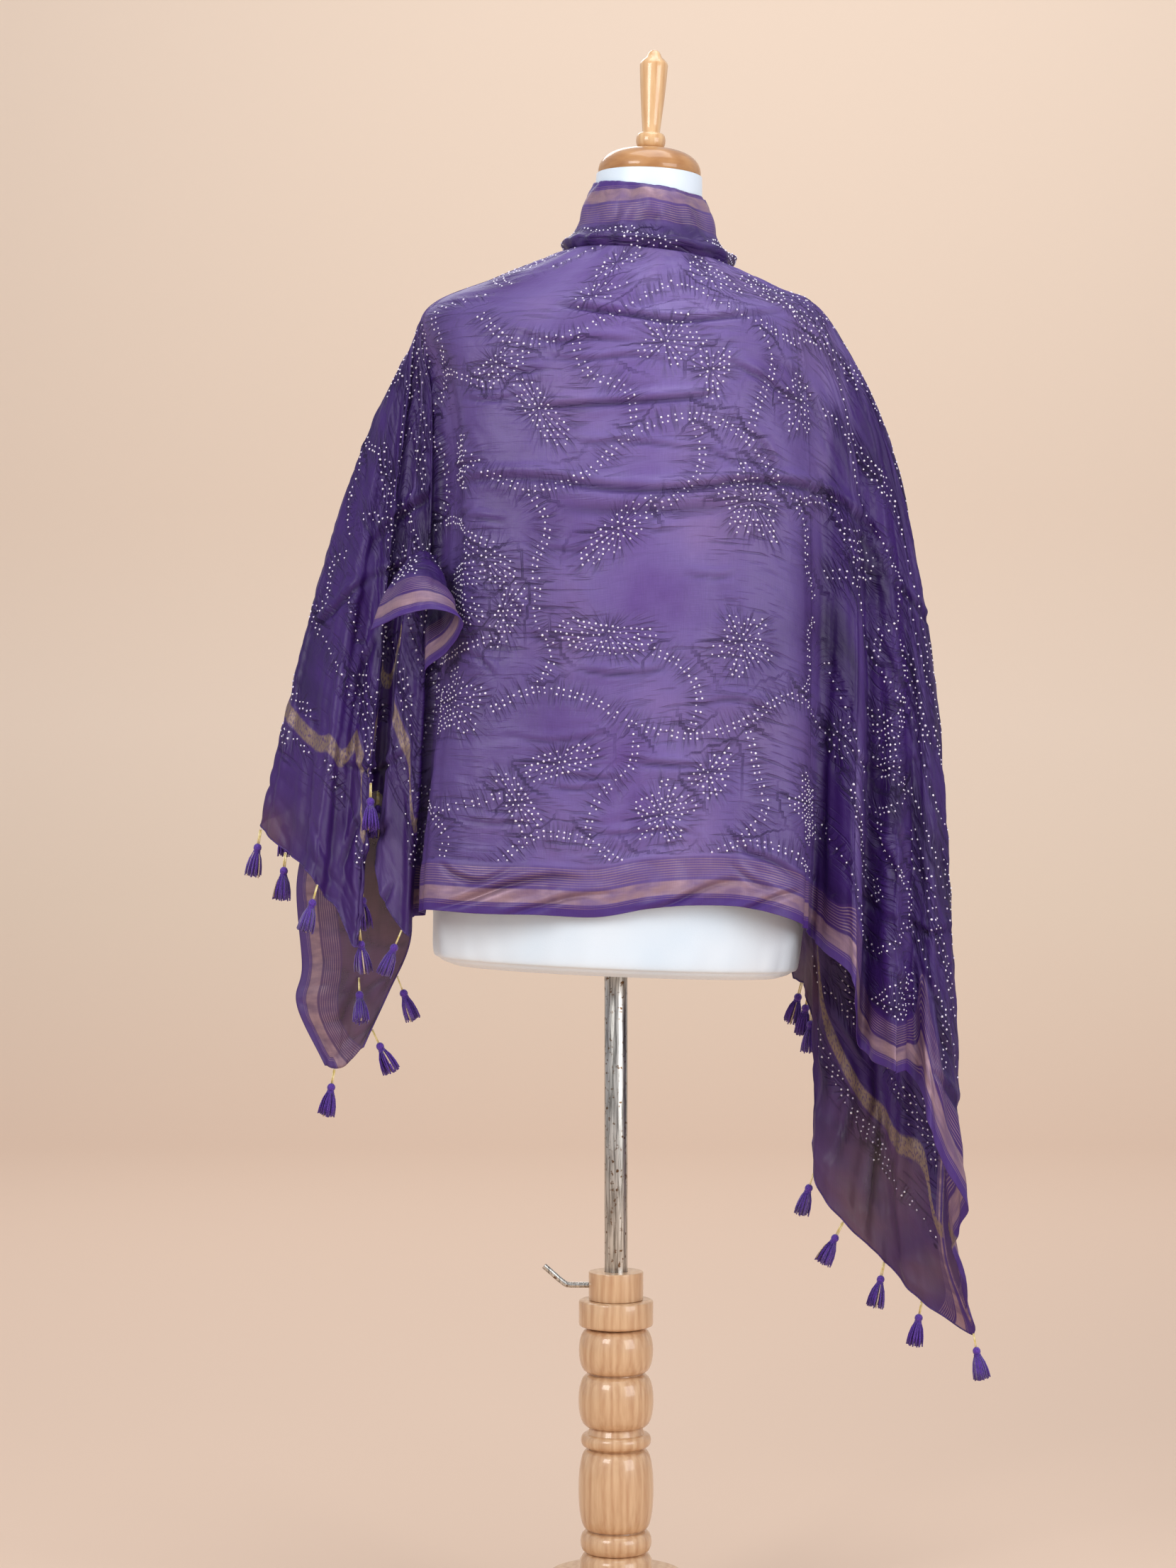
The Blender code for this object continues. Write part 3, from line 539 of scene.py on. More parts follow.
print("creases:", len(CREASES), "deepest", max(row[0] for row in CREASES) * CREASE_DEPTH, "mm")

# %% [markdown]
# ## The form under the cloth
# Where the silk lies against the white form it lets some white through, and where a wrinkle lifts it off
# the colour deepens; that light and shade is painted into the cloth's colour. So the torso is needed as a
# shape that the cloth can be measured against.

# %% Torso shape
FORM_BOTTOM_Z = 0.651
FORM_LEAN = math.radians(2.4)
# Height above the form's lower edge, half width and half depth
TORSO = (
    (0.000, 0.1560, 0.1000),
    (0.006, 0.1700, 0.1130),
    (0.020, 0.1780, 0.1205),
    (0.100, 0.1800, 0.1220),
    (0.200, 0.1640, 0.1130),
    (0.310, 0.1330, 0.0950),
    (0.420, 0.1440, 0.0990),
    (0.520, 0.1620, 0.1030),
    (0.585, 0.1760, 0.1040),
    (0.618, 0.1720, 0.0960),
    (0.640, 0.1560, 0.0870),
    (0.658, 0.1290, 0.0780),
    (0.676, 0.0962, 0.0690),
    (0.694, 0.0724, 0.0612),
    (0.716, 0.0555, 0.0535),
    (0.774, 0.0515, 0.0510),
)
TORSO_CURVE = spline_weights(np.linspace(0, len(TORSO) - 1, 240), len(TORSO)) @ np.array(TORSO)


def form_gap(points):
    """How far points lie outside the torso, and the direction away from it, both roughly."""
    x, y, z = points[..., 0], points[..., 1], points[..., 2] - FORM_BOTTOM_Z
    local_x = x * math.cos(FORM_LEAN) - z * math.sin(FORM_LEAN)
    local_z = x * math.sin(FORM_LEAN) + z * math.cos(FORM_LEAN)
    half_width = np.interp(local_z, TORSO_CURVE[:, 0], TORSO_CURVE[:, 1])
    half_depth = np.interp(local_z, TORSO_CURVE[:, 0], TORSO_CURVE[:, 2])
    ratio = np.hypot(local_x / half_width, y / half_depth)
    outward = np.stack([local_x / half_width**2, y / half_depth**2, np.zeros_like(y)], -1)
    outward /= np.maximum(np.linalg.norm(outward, axis=-1, keepdims=True), 1e-9)
    radius = np.hypot(local_x, y)
    gap = radius * (1 - 1 / np.maximum(ratio, 1e-6))
    inside_height = (local_z > 0) & (local_z < TORSO[-1][0])
    return np.where(inside_height, gap, 1.0), outward


# How far behind the cloth the form is looked for, and in how many steps
SEE_THROUGH_STEPS = 22
SEE_THROUGH_REACH = 0.110


def painted_form_light(points, outward):
    """Painted light: how much of the lit white form shows through each point, by whether it is behind and how
    near.
    """
    shown = np.zeros(points.shape[:2])
    for step in range(SEE_THROUGH_STEPS, -1, -1):
        deep = SEE_THROUGH_REACH * step / SEE_THROUGH_STEPS
        gap = form_gap(points - outward * deep)[0]
        shown = np.where(gap < 0.002, 1 - 0.75 * deep / SEE_THROUGH_REACH, shown)
    for axis in (0, 1):
        shown = (shown + np.roll(shown, 1, axis) + np.roll(shown, -1, axis)) / 3
    # Painted light: brighter in the middle of the back, where light falls on it most squarely, darker to the
    # sides
    return shown * (0.58 + 0.42 * np.exp(-(((points[..., 0] - 0.03) / 0.10) ** 2)))


print("torso rings:", len(TORSO_CURVE), "height:", TORSO[-1][0], "m")

# %% [markdown]
# ## Laying out the stretches
# The stole is one cloth, too large for one mesh, so it is cut where nobody looks: inside the two recesses
# beside the back, and round at the front. Columns lie evenly along the hem, closer where the camera looks.

# %% Stretches of cloth
VISIBLE_STEP = 0.0029
HIDDEN_STEP = 0.0056
WALL = 0.0005
# Name, first and last fold place, spacing of its columns, rows, fold place of its corner, its solids
STRETCH_COLUMNS = ("name", "first", "last", "step", "rows", "corner", "nodes")
STRETCHES = (
    ("left_front_cloth", 0, 4, HIDDEN_STEP, 90, None, ("stole_left_front",)),
    ("left_wing_cloth", 4, 14.5, VISIBLE_STEP, 205, None, ("stole_left_back",)),
    ("back_cloth", 14.5, 24.5, VISIBLE_STEP, 275, 99, ("stole_back",)),
    ("right_wing_cloth", 24.5, 39, VISIBLE_STEP * 1.4, 205, 34, ("stole_right_back",)),
    ("right_front_cloth", 39, 46, HIDDEN_STEP, 120, None, ("stole_right_front",)),
)


def fold_columns(first, last, step):
    """Fold places from first to last, about a step apart where the cloth hangs."""
    fine = np.linspace(first, last, 2000)
    walked = arc_lengths(drape(fine, [0.55, 0.8, 1.0]), 1).max(axis=0)
    count = int(walked[-1] / step)
    return np.interp(np.linspace(0, walked[-1], count + 1), walked, fine)


def lay_out(row, woven_start):
    """The undisturbed surface of one stretch with its places in the cut and along the cloth."""
    made = dict(row)
    made["folds"] = fold_columns(row["first"], row["last"], row["step"])
    downs = np.linspace(NECK_SEAM, 1, row["rows"])
    made["downs"] = np.concatenate([downs[:-1], [1 - 0.3 / row["rows"], 1]])
    made["points"] = drape(made["folds"], made["downs"])
    made["end"], made["hem"] = cut_places(made["points"], made["folds"], row["corner"])
    middle = made["points"][int(0.62 * len(made["downs"]))]
    made["along"] = woven_start + arc_lengths(middle, 0)
    made["climb"] = arc_lengths(made["points"][::-1], 0)[::-1]
    return made


stretches = []
woven = 0.0
for stretch_row in [dict(zip(STRETCH_COLUMNS, row)) for row in STRETCHES]:
    stretches.append(lay_out(stretch_row, woven))
    woven = stretches[-1]["along"][-1]
for made in stretches:
    print(made["name"], made["points"].shape, "woven to", round(made["along"][-1], 3))

# %% [markdown]
# ## The tied dots
# In bandhani the dyer pinches up one spot at a time and ties it, and each tie stays white. The spots run in
# double rows along winding stems and fill leaves and stars between them. The stems here wind in a layout of
# their own: one tile of stems and leaves, turned over in every other place and shifted a little each time.

# %% Dot layout
DOT_SPACING = 0.0062
ROW_OFFSET = 0.0025
TILE = (0.36, 0.31)
STEMS = (
    ((-6, 42), (34, 74), (84, 70), (132, 40), (186, 30), (238, 60), (290, 66), (366, 42)),
    ((-4, 196), (40, 214), (92, 204), (134, 170), (190, 158), (240, 176), (292, 214), (364, 196)),
    ((84, 70), (96, 108), (128, 132), (134, 170)),
    ((238, 60), (262, 96), (250, 138), (240, 176)),
    ((40, 214), (58, 250), (44, 284), (46, 312)),
    ((292, 214), (318, 238), (316, 276), (338, 300)),
    ((186, 158), (196, 196), (180, 228), (150, 246)),
)
# Place of the middle, half length and half width in millimetres, turn in degrees, and number of points
FILLED = (
    ((64, 138), (44, 23), 34, 2),
    ((160, 92), (33, 29), 10, 5),
    ((312, 118), (34, 30), -14, 5),
    ((206, 118), (26, 17), 60, 3),
    ((116, 256), (46, 23), -22, 2),
    ((238, 240), (35, 29), 30, 5),
    ((4, 284), (32, 20), 40, 2),
    ((232, 16), (28, 20), -10, 2),
    ((318, 18), (34, 22), 10, 2),
    ((20, 100), (30, 18), -50, 2),
    ((92, 20), (30, 20), 12, 3),
)


def stem_dots(points):
    """Two rows of dots beside a stem: place, its direction, how far on it is, and 0 for a stem."""
    line = spread(points, 60) * MM
    walked = arc_lengths(line, 0)
    stops = np.arange(0, walked[-1], DOT_SPACING)
    x, y = np.interp(stops, walked, line[:, 0]), np.interp(stops, walked, line[:, 1])
    slope = np.arctan2(np.gradient(y), np.gradient(x))
    side = np.stack([-np.sin(slope), np.cos(slope)], 1) * ROW_OFFSET
    rows = []
    for sign in (1, -1):
        place = np.stack([x, y], 1) + sign * side
        rows.append(np.column_stack([place, np.cos(slope), np.sin(slope), stops, 0 * stops]))
    return np.concatenate(rows)


def filled_dots(centre, size, turn, points):
    """Rows of dots that fill a leaf or a star: place, its middle, nothing, and how large it is."""
    reach = max(size) * MM
    steps = np.arange(-reach, reach, DOT_SPACING * 0.92)
    x, y = np.meshgrid(steps, steps * 0.9)
    x = x + (np.arange(len(steps)) % 2)[:, None] * DOT_SPACING / 2
    angle = np.arctan2(y / size[1], x / size[0])
    radius = np.hypot(x / size[0], y / size[1]) / MM
    inside = radius < 0.84 + 0.18 * np.cos(points * angle)
    x, y = x[inside], y[inside]
    a = math.radians(turn)
    spun = np.stack([x * math.cos(a) - y * math.sin(a), x * math.sin(a) + y * math.cos(a)], 1)
    middle = np.array(centre) * MM
    return np.column_stack([spun + middle, np.broadcast_to(middle, spun.shape), 0 * x, 0 * x + reach])


def tree_of(places):
    """A search tree of the places, which soon finds those near a point."""
    tree = KDTree(len(places))
    for index, place in enumerate(places):
        tree.insert(place, index)
    tree.balance()
    return tree


def thinned(places, reach):
    """Numbers of the places that stay when each one drops the later ones nearer than reach."""
    tree = tree_of(places)
    dropped = set()
    for index, place in enumerate(places):
        if index not in dropped:
            dropped.update(other for _, other, _ in tree.find_range(place, reach) if other != index)
    return [index for index in range(len(places)) if index not in dropped]


def all_dots(length, width):
    """Every dot of the cloth, as its place along and across it and what it belongs to."""
    chosen = []
    for column in range(int(length / TILE[0]) + 1):
        for row in range(int(width / TILE[1]) + 1):
            stems = [stem_dots(points) for points in STEMS]
            leaves = []
            for centre, size, turn, points in FILLED:
                centre = np.array(centre) + RANDOM.uniform(-9, 9, 2)
                size = np.array(size) * RANDOM.uniform(0.85, 1.2)
                leaves.append(filled_dots(centre, size, turn + RANDOM.uniform(-25, 25), points))
            stems, leaves = np.concatenate(stems), np.concatenate(leaves)
            if (column + row) % 2:
                stems[:, 1] = TILE[1] - stems[:, 1]
                stems[:, 3] = -stems[:, 3]
                leaves[:, (1, 3)] = TILE[1] - leaves[:, (1, 3)]
            corner = np.array([column * TILE[0], row * TILE[1]])
            stems[:, :2] += corner
            leaves[:, :4] += np.tile(corner, 2)
            chosen += [stems, leaves]
    dots = np.concatenate(chosen)
    x, y = dots[:, 0].copy(), dots[:, 1].copy()
    drift = 0.012 * np.stack([noise(x * 7, y * 7, 1) - 0.5, noise(x * 7, y * 7, 2) - 0.5], 1)
    dots[:, :2] += drift + RANDOM.normal(0, 0.0005, drift.shape)
    return dots[thinned([(x, y, 0) for x, y in dots[:, :2]], DOT_SPACING * 0.66)]


DOTS = all_dots(woven, 1.15)
print("dots in the cloth:", len(DOTS))

# %% [markdown]
# ## How close each point is to a tie
# Round each tie the silk stays drawn up in fine puckers, and their shade is painted in as a darker colour.
# So each point of the cloth looks up its nearest dot, and how it lies to the stem or the leaf which that dot
# belongs to.

# %% Ties near each point
DOT_TREE = tree_of([(x, y, 0) for x, y in DOTS[:, :2]])
# The gilt band's place from the short end, the border's width, and how far a tie draws the cloth, in metres
BAND_FROM_END = (0.099, 0.113)
BORDER_WIDTH = 0.044
TIE_REACH = 0.0105


def dotted(end, hem):
    """1 where the cloth is dyed with dots and 0 on its border, its band and its sheer end."""
    clear_band = (end > BAND_FROM_END[1] + 0.004) | ((end > 0.066) & (end < BAND_FROM_END[0] - 0.004))
    return ((hem > BORDER_WIDTH + 0.005) & clear_band).astype(float)


def tied_near(made):
    """How close each point is to a tied dot, from 0 to 1, and its place on the stem or leaf of that dot.

    That place is a pair: along a stem or round a leaf, and away from it. Puckers run along the second.
    """
    along = np.broadcast_to(made["along"], made["climb"].shape)
    found = [DOT_TREE.find((x, y, 0)) for x, y in zip(along.ravel(), made["climb"].ravel())]
    index = np.array([dot for _, dot, _ in found])
    distance = np.array([away for _, _, away in found])
    place = np.stack([along.ravel(), made["climb"].ravel()], 1)
    dot = DOTS[index]
    on_stem = dot[:, 4] + ((place - dot[:, :2]) * dot[:, 2:4]).sum(1)
    middle = place - dot[:, 2:4]
    round_leaf = np.arctan2(middle[:, 1], middle[:, 0]) * np.maximum(dot[:, 5], 0.01) * 0.8
    leaf = dot[:, 5] > 0
    pucker = np.stack([np.where(leaf, round_leaf, on_stem), np.where(leaf, np.hypot(*middle.T), distance)], 1)
    shape = along.shape
    tied = np.exp(-(distance / TIE_REACH) ** 2).reshape(shape) * dotted(made["end"], made["hem"])
    return tied, pucker.reshape(*shape, 2)


print("a tie draws up the cloth for", round(TIE_REACH / MM, 1), "mm round it")

# %% [markdown]
# ## Wrinkling each stretch
# The large creases come first, then soft upright folds that grow towards the hem of the wings, then crumple
# that runs mostly across the body, and last the small puckers round the tied dots. Each moves the cloth
# along its own normal. Where a point would sink into the form, it is put back on the form's surface.

# %% Wrinkles on the drape
# Where the plain ends look thin, as light comes through: middle (x, z), half width and half height
SHEER_PARTS = (
    (-0.342, 0.790, 0.026, 0.024),
    (0.252, 0.425, 0.052, 0.085),
    (0.306, 0.350, 0.030, 0.030),
    (0.205, 0.640, 0.030, 0.034),
)
# First and last fold place of the back, and how far from the short end its gilt band is most crumpled
BACK_FOLDS = (16.5, 24.5)
BAND_MIDDLE = 0.106
CLEAR_OF_FORM = 0.0012


def sheer_parts(points):
    """How thin each point of a plain end looks, from 0.08 to 1."""
    x, z = points[..., 0], points[..., 2]
    near = [np.exp(-(((x - px) / wide) ** 2) - ((z - pz) / tall) ** 2) for px, pz, wide, tall in SHEER_PARTS]
    return np.clip(0.08 + 1.1 * np.max(near, axis=0), 0, 1)


def placed_creases(made):
    """Heights and painted shade of the creases on one stretch: as they are behind the body, mirrored before
    it.
    """
    folds, points = made["folds"], made["points"]
    height, valley = np.zeros_like(made["climb"]), np.zeros_like(made["climb"])
    behind, before = (folds > 16.6) & (folds < 35), (folds < 14) | (folds > 36)
    for chosen, sign, shift in ((behind, 1, 0), (before, -1, 0.02)):
        x, z = sign * points[:, chosen, 0] + shift, points[:, chosen, 2]
        height[:, chosen], valley[:, chosen] = crease_heights(x, z, CREASES)
    return height, valley


def upright_folds(folds, downs, along, climb):
    """Soft folds down the wings, which grow towards the foot and are faint on the back."""
    on_wings = 1 - np.clip(np.minimum(folds - BACK_FOLDS[0], BACK_FOLDS[1] - folds), 0, 1)
    growth = np.clip((downs - 0.30) / 0.5, 0, 1) ** 1.5
    wave = np.zeros_like(climb)
    for count, size, phase in ((0.83, 1.0, 0.3), (1.61, 0.7, 2.1), (2.37, 0.45, 4.4)):
        drift = 1.4 * noise(climb * 6, along * 0 + count, 3)
        wave += size * np.sin(2 * math.pi * (count * folds + drift) + phase)
    return 0.0015 * wave * growth * (0.22 + 0.78 * on_wings)


def crumpled(along, climb, on_back):
    """Rolls across the cloth, and on the wings rolls on the slant too, each in uneven patches."""
    rolls = crumple(along * 20, climb * 58 + 2 * noise(along * 9, climb * 9, 4), 0)
    across = 0.0028 * rolls * (0.70 + 0.30 * on_back) * noise(along * 7, climb * 7, 5) ** 1.5
    diagonal = crumple((along + climb) * 44, (along - climb) * 20, 1)
    slanted = 0.0038 * diagonal * (1 - 0.7 * on_back) * noise(along * 6 + 9, climb * 6, 2) ** 1.5
    return across + slanted


def drawn_up(made, along, climb, on_back):
    """Puckers and short pleats round the ties, and the painted shade of each point deep in a pucker."""
    tied, pucker = made["tied"], made["pucker"]
    streaks = crumple(pucker[..., 0] * 170, pucker[..., 1] * 36, 2)
    pleats = crumple(along * 16, climb * 105 + 2 * noise(along * 12, climb * 12, 1), 3)
    height = tied * (0.0012 * streaks + 0.0006)
    height += 0.0015 * tied**0.12 * pleats * noise(along * 14, climb * 14, 0) * (0.35 + 0.65 * on_back)
    return height, 0.55 * tied * np.clip(-streaks * 1.5 - 0.75, 0, 1)


def rippled_edges(made, downs, along, climb):
    """The crumple of the gilt band, the ripple of the long edge and the gathers under the collar."""
    near_band = np.exp(-((made["end"] - BAND_MIDDLE) / 0.018) ** 2)
    height = near_band * 0.0026 * crumple(along * 90 + 30 * climb, climb * 34, 1)
    near_hem = np.exp(-((made["hem"] / 0.05) ** 2))
    ripple = noise(along * 26, climb * 9, 4) + 0.5 * noise(along * 60, climb * 14, 1) - 0.75
    height += near_hem * 0.0075 * ripple
    near_neck = np.clip((0.10 - downs) / 0.08, 0, 1)
    return height + near_neck * 0.0014 * np.sin(2 * math.pi * made["folds"] * 1.3)


def wrinkle(made):
    """Adds the worn surface of one stretch, and what its colour, painted light and shade too, needs at each
    point.
    """
    points, folds, downs = made["points"], made["folds"], made["downs"][:, None]
    climb = made["climb"]
    along = np.broadcast_to(made["along"], climb.shape)
    outward = normals_of(points)
    made["tied"], made["pucker"] = tied_near(made)
    on_back = (folds > BACK_FOLDS[0]) & (folds < BACK_FOLDS[1])
    height, valley = placed_creases(made)
    puckers, pucker_shade = drawn_up(made, along, climb, on_back)
    height += upright_folds(folds, downs, along, climb)
    height += crumpled(along, climb, on_back) + puckers + rippled_edges(made, downs, along, climb)
    ends = np.minimum(1, np.minimum(folds - folds[0], folds[-1] - folds) / 0.15)
    top = np.clip((downs - NECK_SEAM) / 0.02, 0, 1)
    moved = points + outward * (height * ends * top)[..., None]
    gap, away = form_gap(moved)
    sunk = np.clip(CLEAR_OF_FORM - gap, 0, 0.02)
    made["worn"] = moved + away * np.where(gap < CLEAR_OF_FORM, sunk, 0)[..., None]
    # Painted shade in crease valleys and puckers, and painted light of the form behind
    made["valley"] = np.maximum(valley, pucker_shade)
    made["lit"] = painted_form_light(points, outward)
    made["sheer"] = sheer_parts(points) * (made["end"] < BAND_FROM_END[0])


for made in stretches:
    wrinkle(made)
    farthest = float(np.abs(made["worn"] - made["points"]).max())
    print(made["name"], "moved by up to", round(farthest / MM, 1), "mm")

# %% [markdown]
# ## Silk, border and band
# The ground is a light silk, dyed purple in a piece; where the white form lies behind it, its light is
# painted in as a paler purple. Its long edges carry a woven border: a bright selvedge, two fine lines, a
# tissue band of gilt thread and eight fine gilt lines. One gilt band crosses it before each short end, and
# the end itself is a plain, thinner weave.
# Real threads lie about 0.2 mm apart, too fine to show here, so they are drawn 0.7 mm apart.

# %% Woven and dyed patterns
# Places from the long edge, in metres
BORDER = {"selvedge": 0.0105, "tissue": 0.0240, "lines": 0.0268, "pitch": 0.0023, "last": 0.0440}
FINE_LINES = ((0.0074, 0.0080), (0.0092, 0.0098))
# How many to the metre: threads, puckers 3 mm apart at the ties, pleats 4 mm apart, dye patches of 110 mm
THREADS = 1400
PUCKERS = 330
PLEATS = 230
DYE_PATCHES = 9.0


def woven_stripe(tree, value, low, high, soft=0.0006):
    """1 where value is between low and high, with soft sides."""
    up = node(tree, "MapRange", {0: value, 1: low - soft, 2: low + soft})
    down = node(tree, "MapRange", {0: value, 1: high - soft, 2: high + soft, 3: 1.0, 4: 0.0})
    return node(tree, "Math", {0: up, 1: down}, **TIMES)


def drawn_out(tree, vector, scale, detail=2.0):
    """Noise drawn out along one way of the cloth, as threads and puckers are."""
    placed = node(tree, "Mapping", {"Vector": vector, "Scale": scale})
    return node(tree, "TexNoise", {"Vector": placed, "Scale": 1.0, "Detail": detail})


def puckered_lines(tree, weave, pucker, tied, patches):
    """Lines round the ties, as relief and as painted shade: the puckers that point at them, and the short
    pleats across the cloth.
    """
    streaks = drawn_out(tree, pucker, (PUCKERS, 42, 1), 1.5)
    streaks = node(tree, "ValToRGB", {0: streaks}, stops=((0.34, 1.0), (0.50, 0.0)))
    near_tie = node(tree, "Math", {0: tied, 1: 0.16}, operation="POWER")
    pleats = drawn_out(tree, weave, (24, PLEATS, 1), 2.0)
    pleats = node(tree, "ValToRGB", {0: pleats}, stops=((0.36, 1.0), (0.44, 0.0)))
    pleats = node(tree, "Math", {0: pleats, 1: near_tie}, **TIMES)
    uneven = node(tree, "ValToRGB", {0: patches}, stops=((0.40, 0.1), (0.58, 1.0)))
    return streaks, node(tree, "Math", {0: pleats, 1: uneven}, **TIMES)


def ground_dye_painted_light_and_shade(tree, patches, painted_form_share, is_end, tied, valley, streaks, pleats):
    """The purple of the ground, with painted light and shade: pale on the form, brownish at the thin ends,
    dark at ties and in creases.
    """
    # Painted light: the pale tones stand for the lit white form showing through, mixed in by how much of it
    # is behind
    deep, pale = [
        node(tree, "ValToRGB", {0: patches}, stops=zip((0.28, 0.50, 0.74), tones))
        for tones in (("#260F46", "#3C1D68", "#35185E"), ("#6B4C98", "#7D68A9", "#8A70AC"))
    ]
    ground = node(tree, "Mix", {0: painted_form_share, 6: deep, 7: pale}, 2, **COLOURS)
    # Painted shade: darker round the ties and along their pucker lines, in the short pleats and in crease
    # valleys
    dark = node(tree, "Math", {0: 0.13, 1: node(tree, "Math", {0: streaks, 1: 0.42}, **TIMES)}, **PLUS)
    dark = node(tree, "Math", {0: tied, 1: dark}, **TIMES)
    for lines, strength in ((pleats, 0.55), (valley, 0.72)):
        lines = node(tree, "Math", {0: lines, 1: strength}, **TIMES)
        dark = node(tree, "Math", {0: dark, 1: lines}, **LARGER)
    # Painted light: at the thin ends the light from behind is painted in as a brownish mauve
    thin = node(tree, "ValToRGB", {0: patches}, stops=((0.36, "#52305E"), (0.60, "#644252")))
    at_end = node(tree, "Math", {0: is_end, 1: 0.80}, **TIMES)
    ground = node(tree, "Mix", {0: at_end, 6: ground, 7: thin}, 2, **COLOURS)
    return node(tree, "Mix", {0: dark, 6: ground, 7: linear("#1E1038")}, 2, **COLOURS)


def border_gilt(tree, weave, hem):
    """How much gilt thread shows in the border: tissue band, fine lines and the pair at the selvedge."""
    tissue = woven_stripe(tree, hem, BORDER["selvedge"] + 0.0006, BORDER["tissue"])
    gilt = node(tree, "Math", {0: tissue, 1: 0.84}, **TIMES)
    offset = node(tree, "Math", {0: hem, 1: BORDER["lines"]}, operation="SUBTRACT")
    counted = node(tree, "Math", {0: offset, 1: BORDER["pitch"]}, operation="DIVIDE")
    within = node(tree, "Math", {0: counted}, operation="FRACT")
    line = woven_stripe(tree, within, 0.14, 0.46, 0.12)
    in_lines = woven_stripe(tree, hem, BORDER["lines"], BORDER["last"], 0.0002)
    lines = node(tree, "Math", {0: line, 1: in_lines}, **TIMES)
    lines = node(tree, "Math", {0: lines, 1: 0.66}, **TIMES)
    first, second = [woven_stripe(tree, hem, low, high, 0.0002) for low, high in FINE_LINES]
    pair = node(tree, "Math", {0: first, 1: second}, **LARGER)
    for stripe in (lines, node(tree, "Math", {0: pair, 1: 0.5}, **TIMES)):
        gilt = node(tree, "Math", {0: gilt, 1: stripe}, **LARGER)
    glints = drawn_out(tree, weave, (34, 90, 1), 3.0)
    glints = node(tree, "ValToRGB", {0: glints}, stops=((0.36, 0.42), (0.62, 1.0)))
    return node(tree, "Math", {0: gilt, 1: glints}, **TIMES)


print("fine gilt lines:", int((BORDER["last"] - BORDER["lines"]) / BORDER["pitch"] + 1))

# %% [markdown]
# ## The silk itself
# All patterns meet in one material, because it is one cloth. Colours follow the cut; the painted shade at
# ties and in creases and the painted light of the form behind come as attributes of the mesh. The fine relief
# is a bump, as it is far smaller than the mesh.

# %% Silk
# Piece-dyed silk of a light plain weave: the smooth threads give the eye a soft sheen without a sharp gloss,
# and it is thin enough to let a pale form and, at its plain ends, the light behind show through
SILK_FINISH = {
    "Roughness": 0.44,
    "Specular IOR Level": 0.36,
    "Sheen Weight": 0.04,
    "Sheen Roughness": 0.35,
    "Sheen Tint": linear("#A58FD8"),
}


def silk_material():
    """The cloth's one material, from its three UV maps and its four attributes."""
    made, tree, shader = new_material("purple silk", SILK_FINISH)
    cut, weave, pucker = [node(tree, "UVMap", uv_map=name) for name in ("cut", "weave", "pucker")]
    end = node(tree, "SeparateXYZ", {0: cut})
    hem = end.node.outputs[1]
    tied, painted_form_share, valley, sheer = [
        node(tree, "Attribute", output="Fac", attribute_name=name)
        for name in ("tied", "lit", "valley", "sheer")
    ]
    weft = drawn_out(tree, weave, (60, THREADS, 1))
    warp = drawn_out(tree, weave, (THREADS, 60, 1))
    threads = node(tree, "Math", {0: weft, 1: warp}, **TIMES)
    patches = node(tree, "TexNoise", {"Vector": weave, "Scale": DYE_PATCHES, "Detail": 3.0})
    streaks, pleats = puckered_lines(tree, weave, pucker, tied, patches)
    before_band = woven_stripe(tree, end, -1.0, BAND_FROM_END[0], 0.0015)
    is_end = node(tree, "Math", {0: before_band, 1: sheer}, **TIMES)
    coloured = ground_dye_painted_light_and_shade(tree, patches, painted_form_share, is_end, tied, valley, streaks, pleats)

    gilt = border_gilt(tree, weave, hem)
    border = woven_stripe(tree, hem, -1.0, BORDER["last"] + 0.002)
    selvedge = woven_stripe(tree, hem, -1.0, BORDER["selvedge"])
    slubs = drawn_out(tree, weave, (900, 260, 1), 1.0)
    slubs = node(tree, "ValToRGB", {0: slubs}, stops=((0.36, 0.30), (0.52, 1.0)))
    band = node(tree, "Math", {0: woven_stripe(tree, end, *BAND_FROM_END, 0.0012), 1: slubs}, **TIMES)
    for mask, strength, colour in (
        (border, 0.45, "#4A2A6C"),
        (selvedge, 0.9, "#472878"),
        (gilt, 1.0, "#A88890"),
        (band, 0.88, "#8E7866"),
    ):
        share = node(tree, "Math", {0: mask, 1: strength}, **TIMES)
        coloured = node(tree, "Mix", {0: share, 6: coloured, 7: linear(colour)}, 2, **COLOURS)
    shade = node(tree, "ValToRGB", {0: threads}, stops=((0.10, 0.80), (0.42, 1.12)))
    coloured = node(tree, "Mix", {0: 0.6, 6: coloured, 7: shade}, 2, blend_type="MULTIPLY", **COLOURS)

    metal = node(tree, "Math", {0: node(tree, "Math", {0: gilt, 1: band}, **LARGER), 1: 0.35}, **TIMES)
    alpha = node(tree, "MapRange", {0: is_end, 3: 0.94, 4: 0.80})
    dense = node(tree, "Math", {0: border, 1: 0.82}, **TIMES)
    alpha = node(tree, "Math", {0: alpha, 1: dense}, **LARGER)
    sunk_ties = node(tree, "Math", {0: tied, 1: -0.8}, **TIMES)
    height = node(tree, "Math", {0: streaks, 1: sunk_ties}, **TIMES)
    fine = node(tree, "TexNoise", {"Vector": weave, "Scale": 150.0, "Detail": 3.0})
    for relief, strength in ((pleats, -0.7), (fine, 0.25), (threads, 0.12)):
        relief = node(tree, "Math", {0: relief, 1: strength}, **TIMES)
        height = node(tree, "Math", {0: height, 1: relief}, **PLUS)
    relief = node(tree, "Bump", {"Height": height, "Distance": 1.6 * MM, "Strength": 0.9})
    paint(shader, {"Base Color": coloured, "Metallic": metal, "Alpha": alpha, "Normal": relief})
    return made


SILK = silk_material()
print("nodes in the silk:", len(SILK.node_tree.nodes))

# %% [markdown]
# ## From arrays to meshes
# A grid from bmesh has the right faces already, so only its points move. UV maps go with it: one with the
# place in the cut, for the woven patterns, one with the place along the cloth, for threads and dye, and one
# for the puckers. A thin Solidify turns the surface into a sheet with two sides.

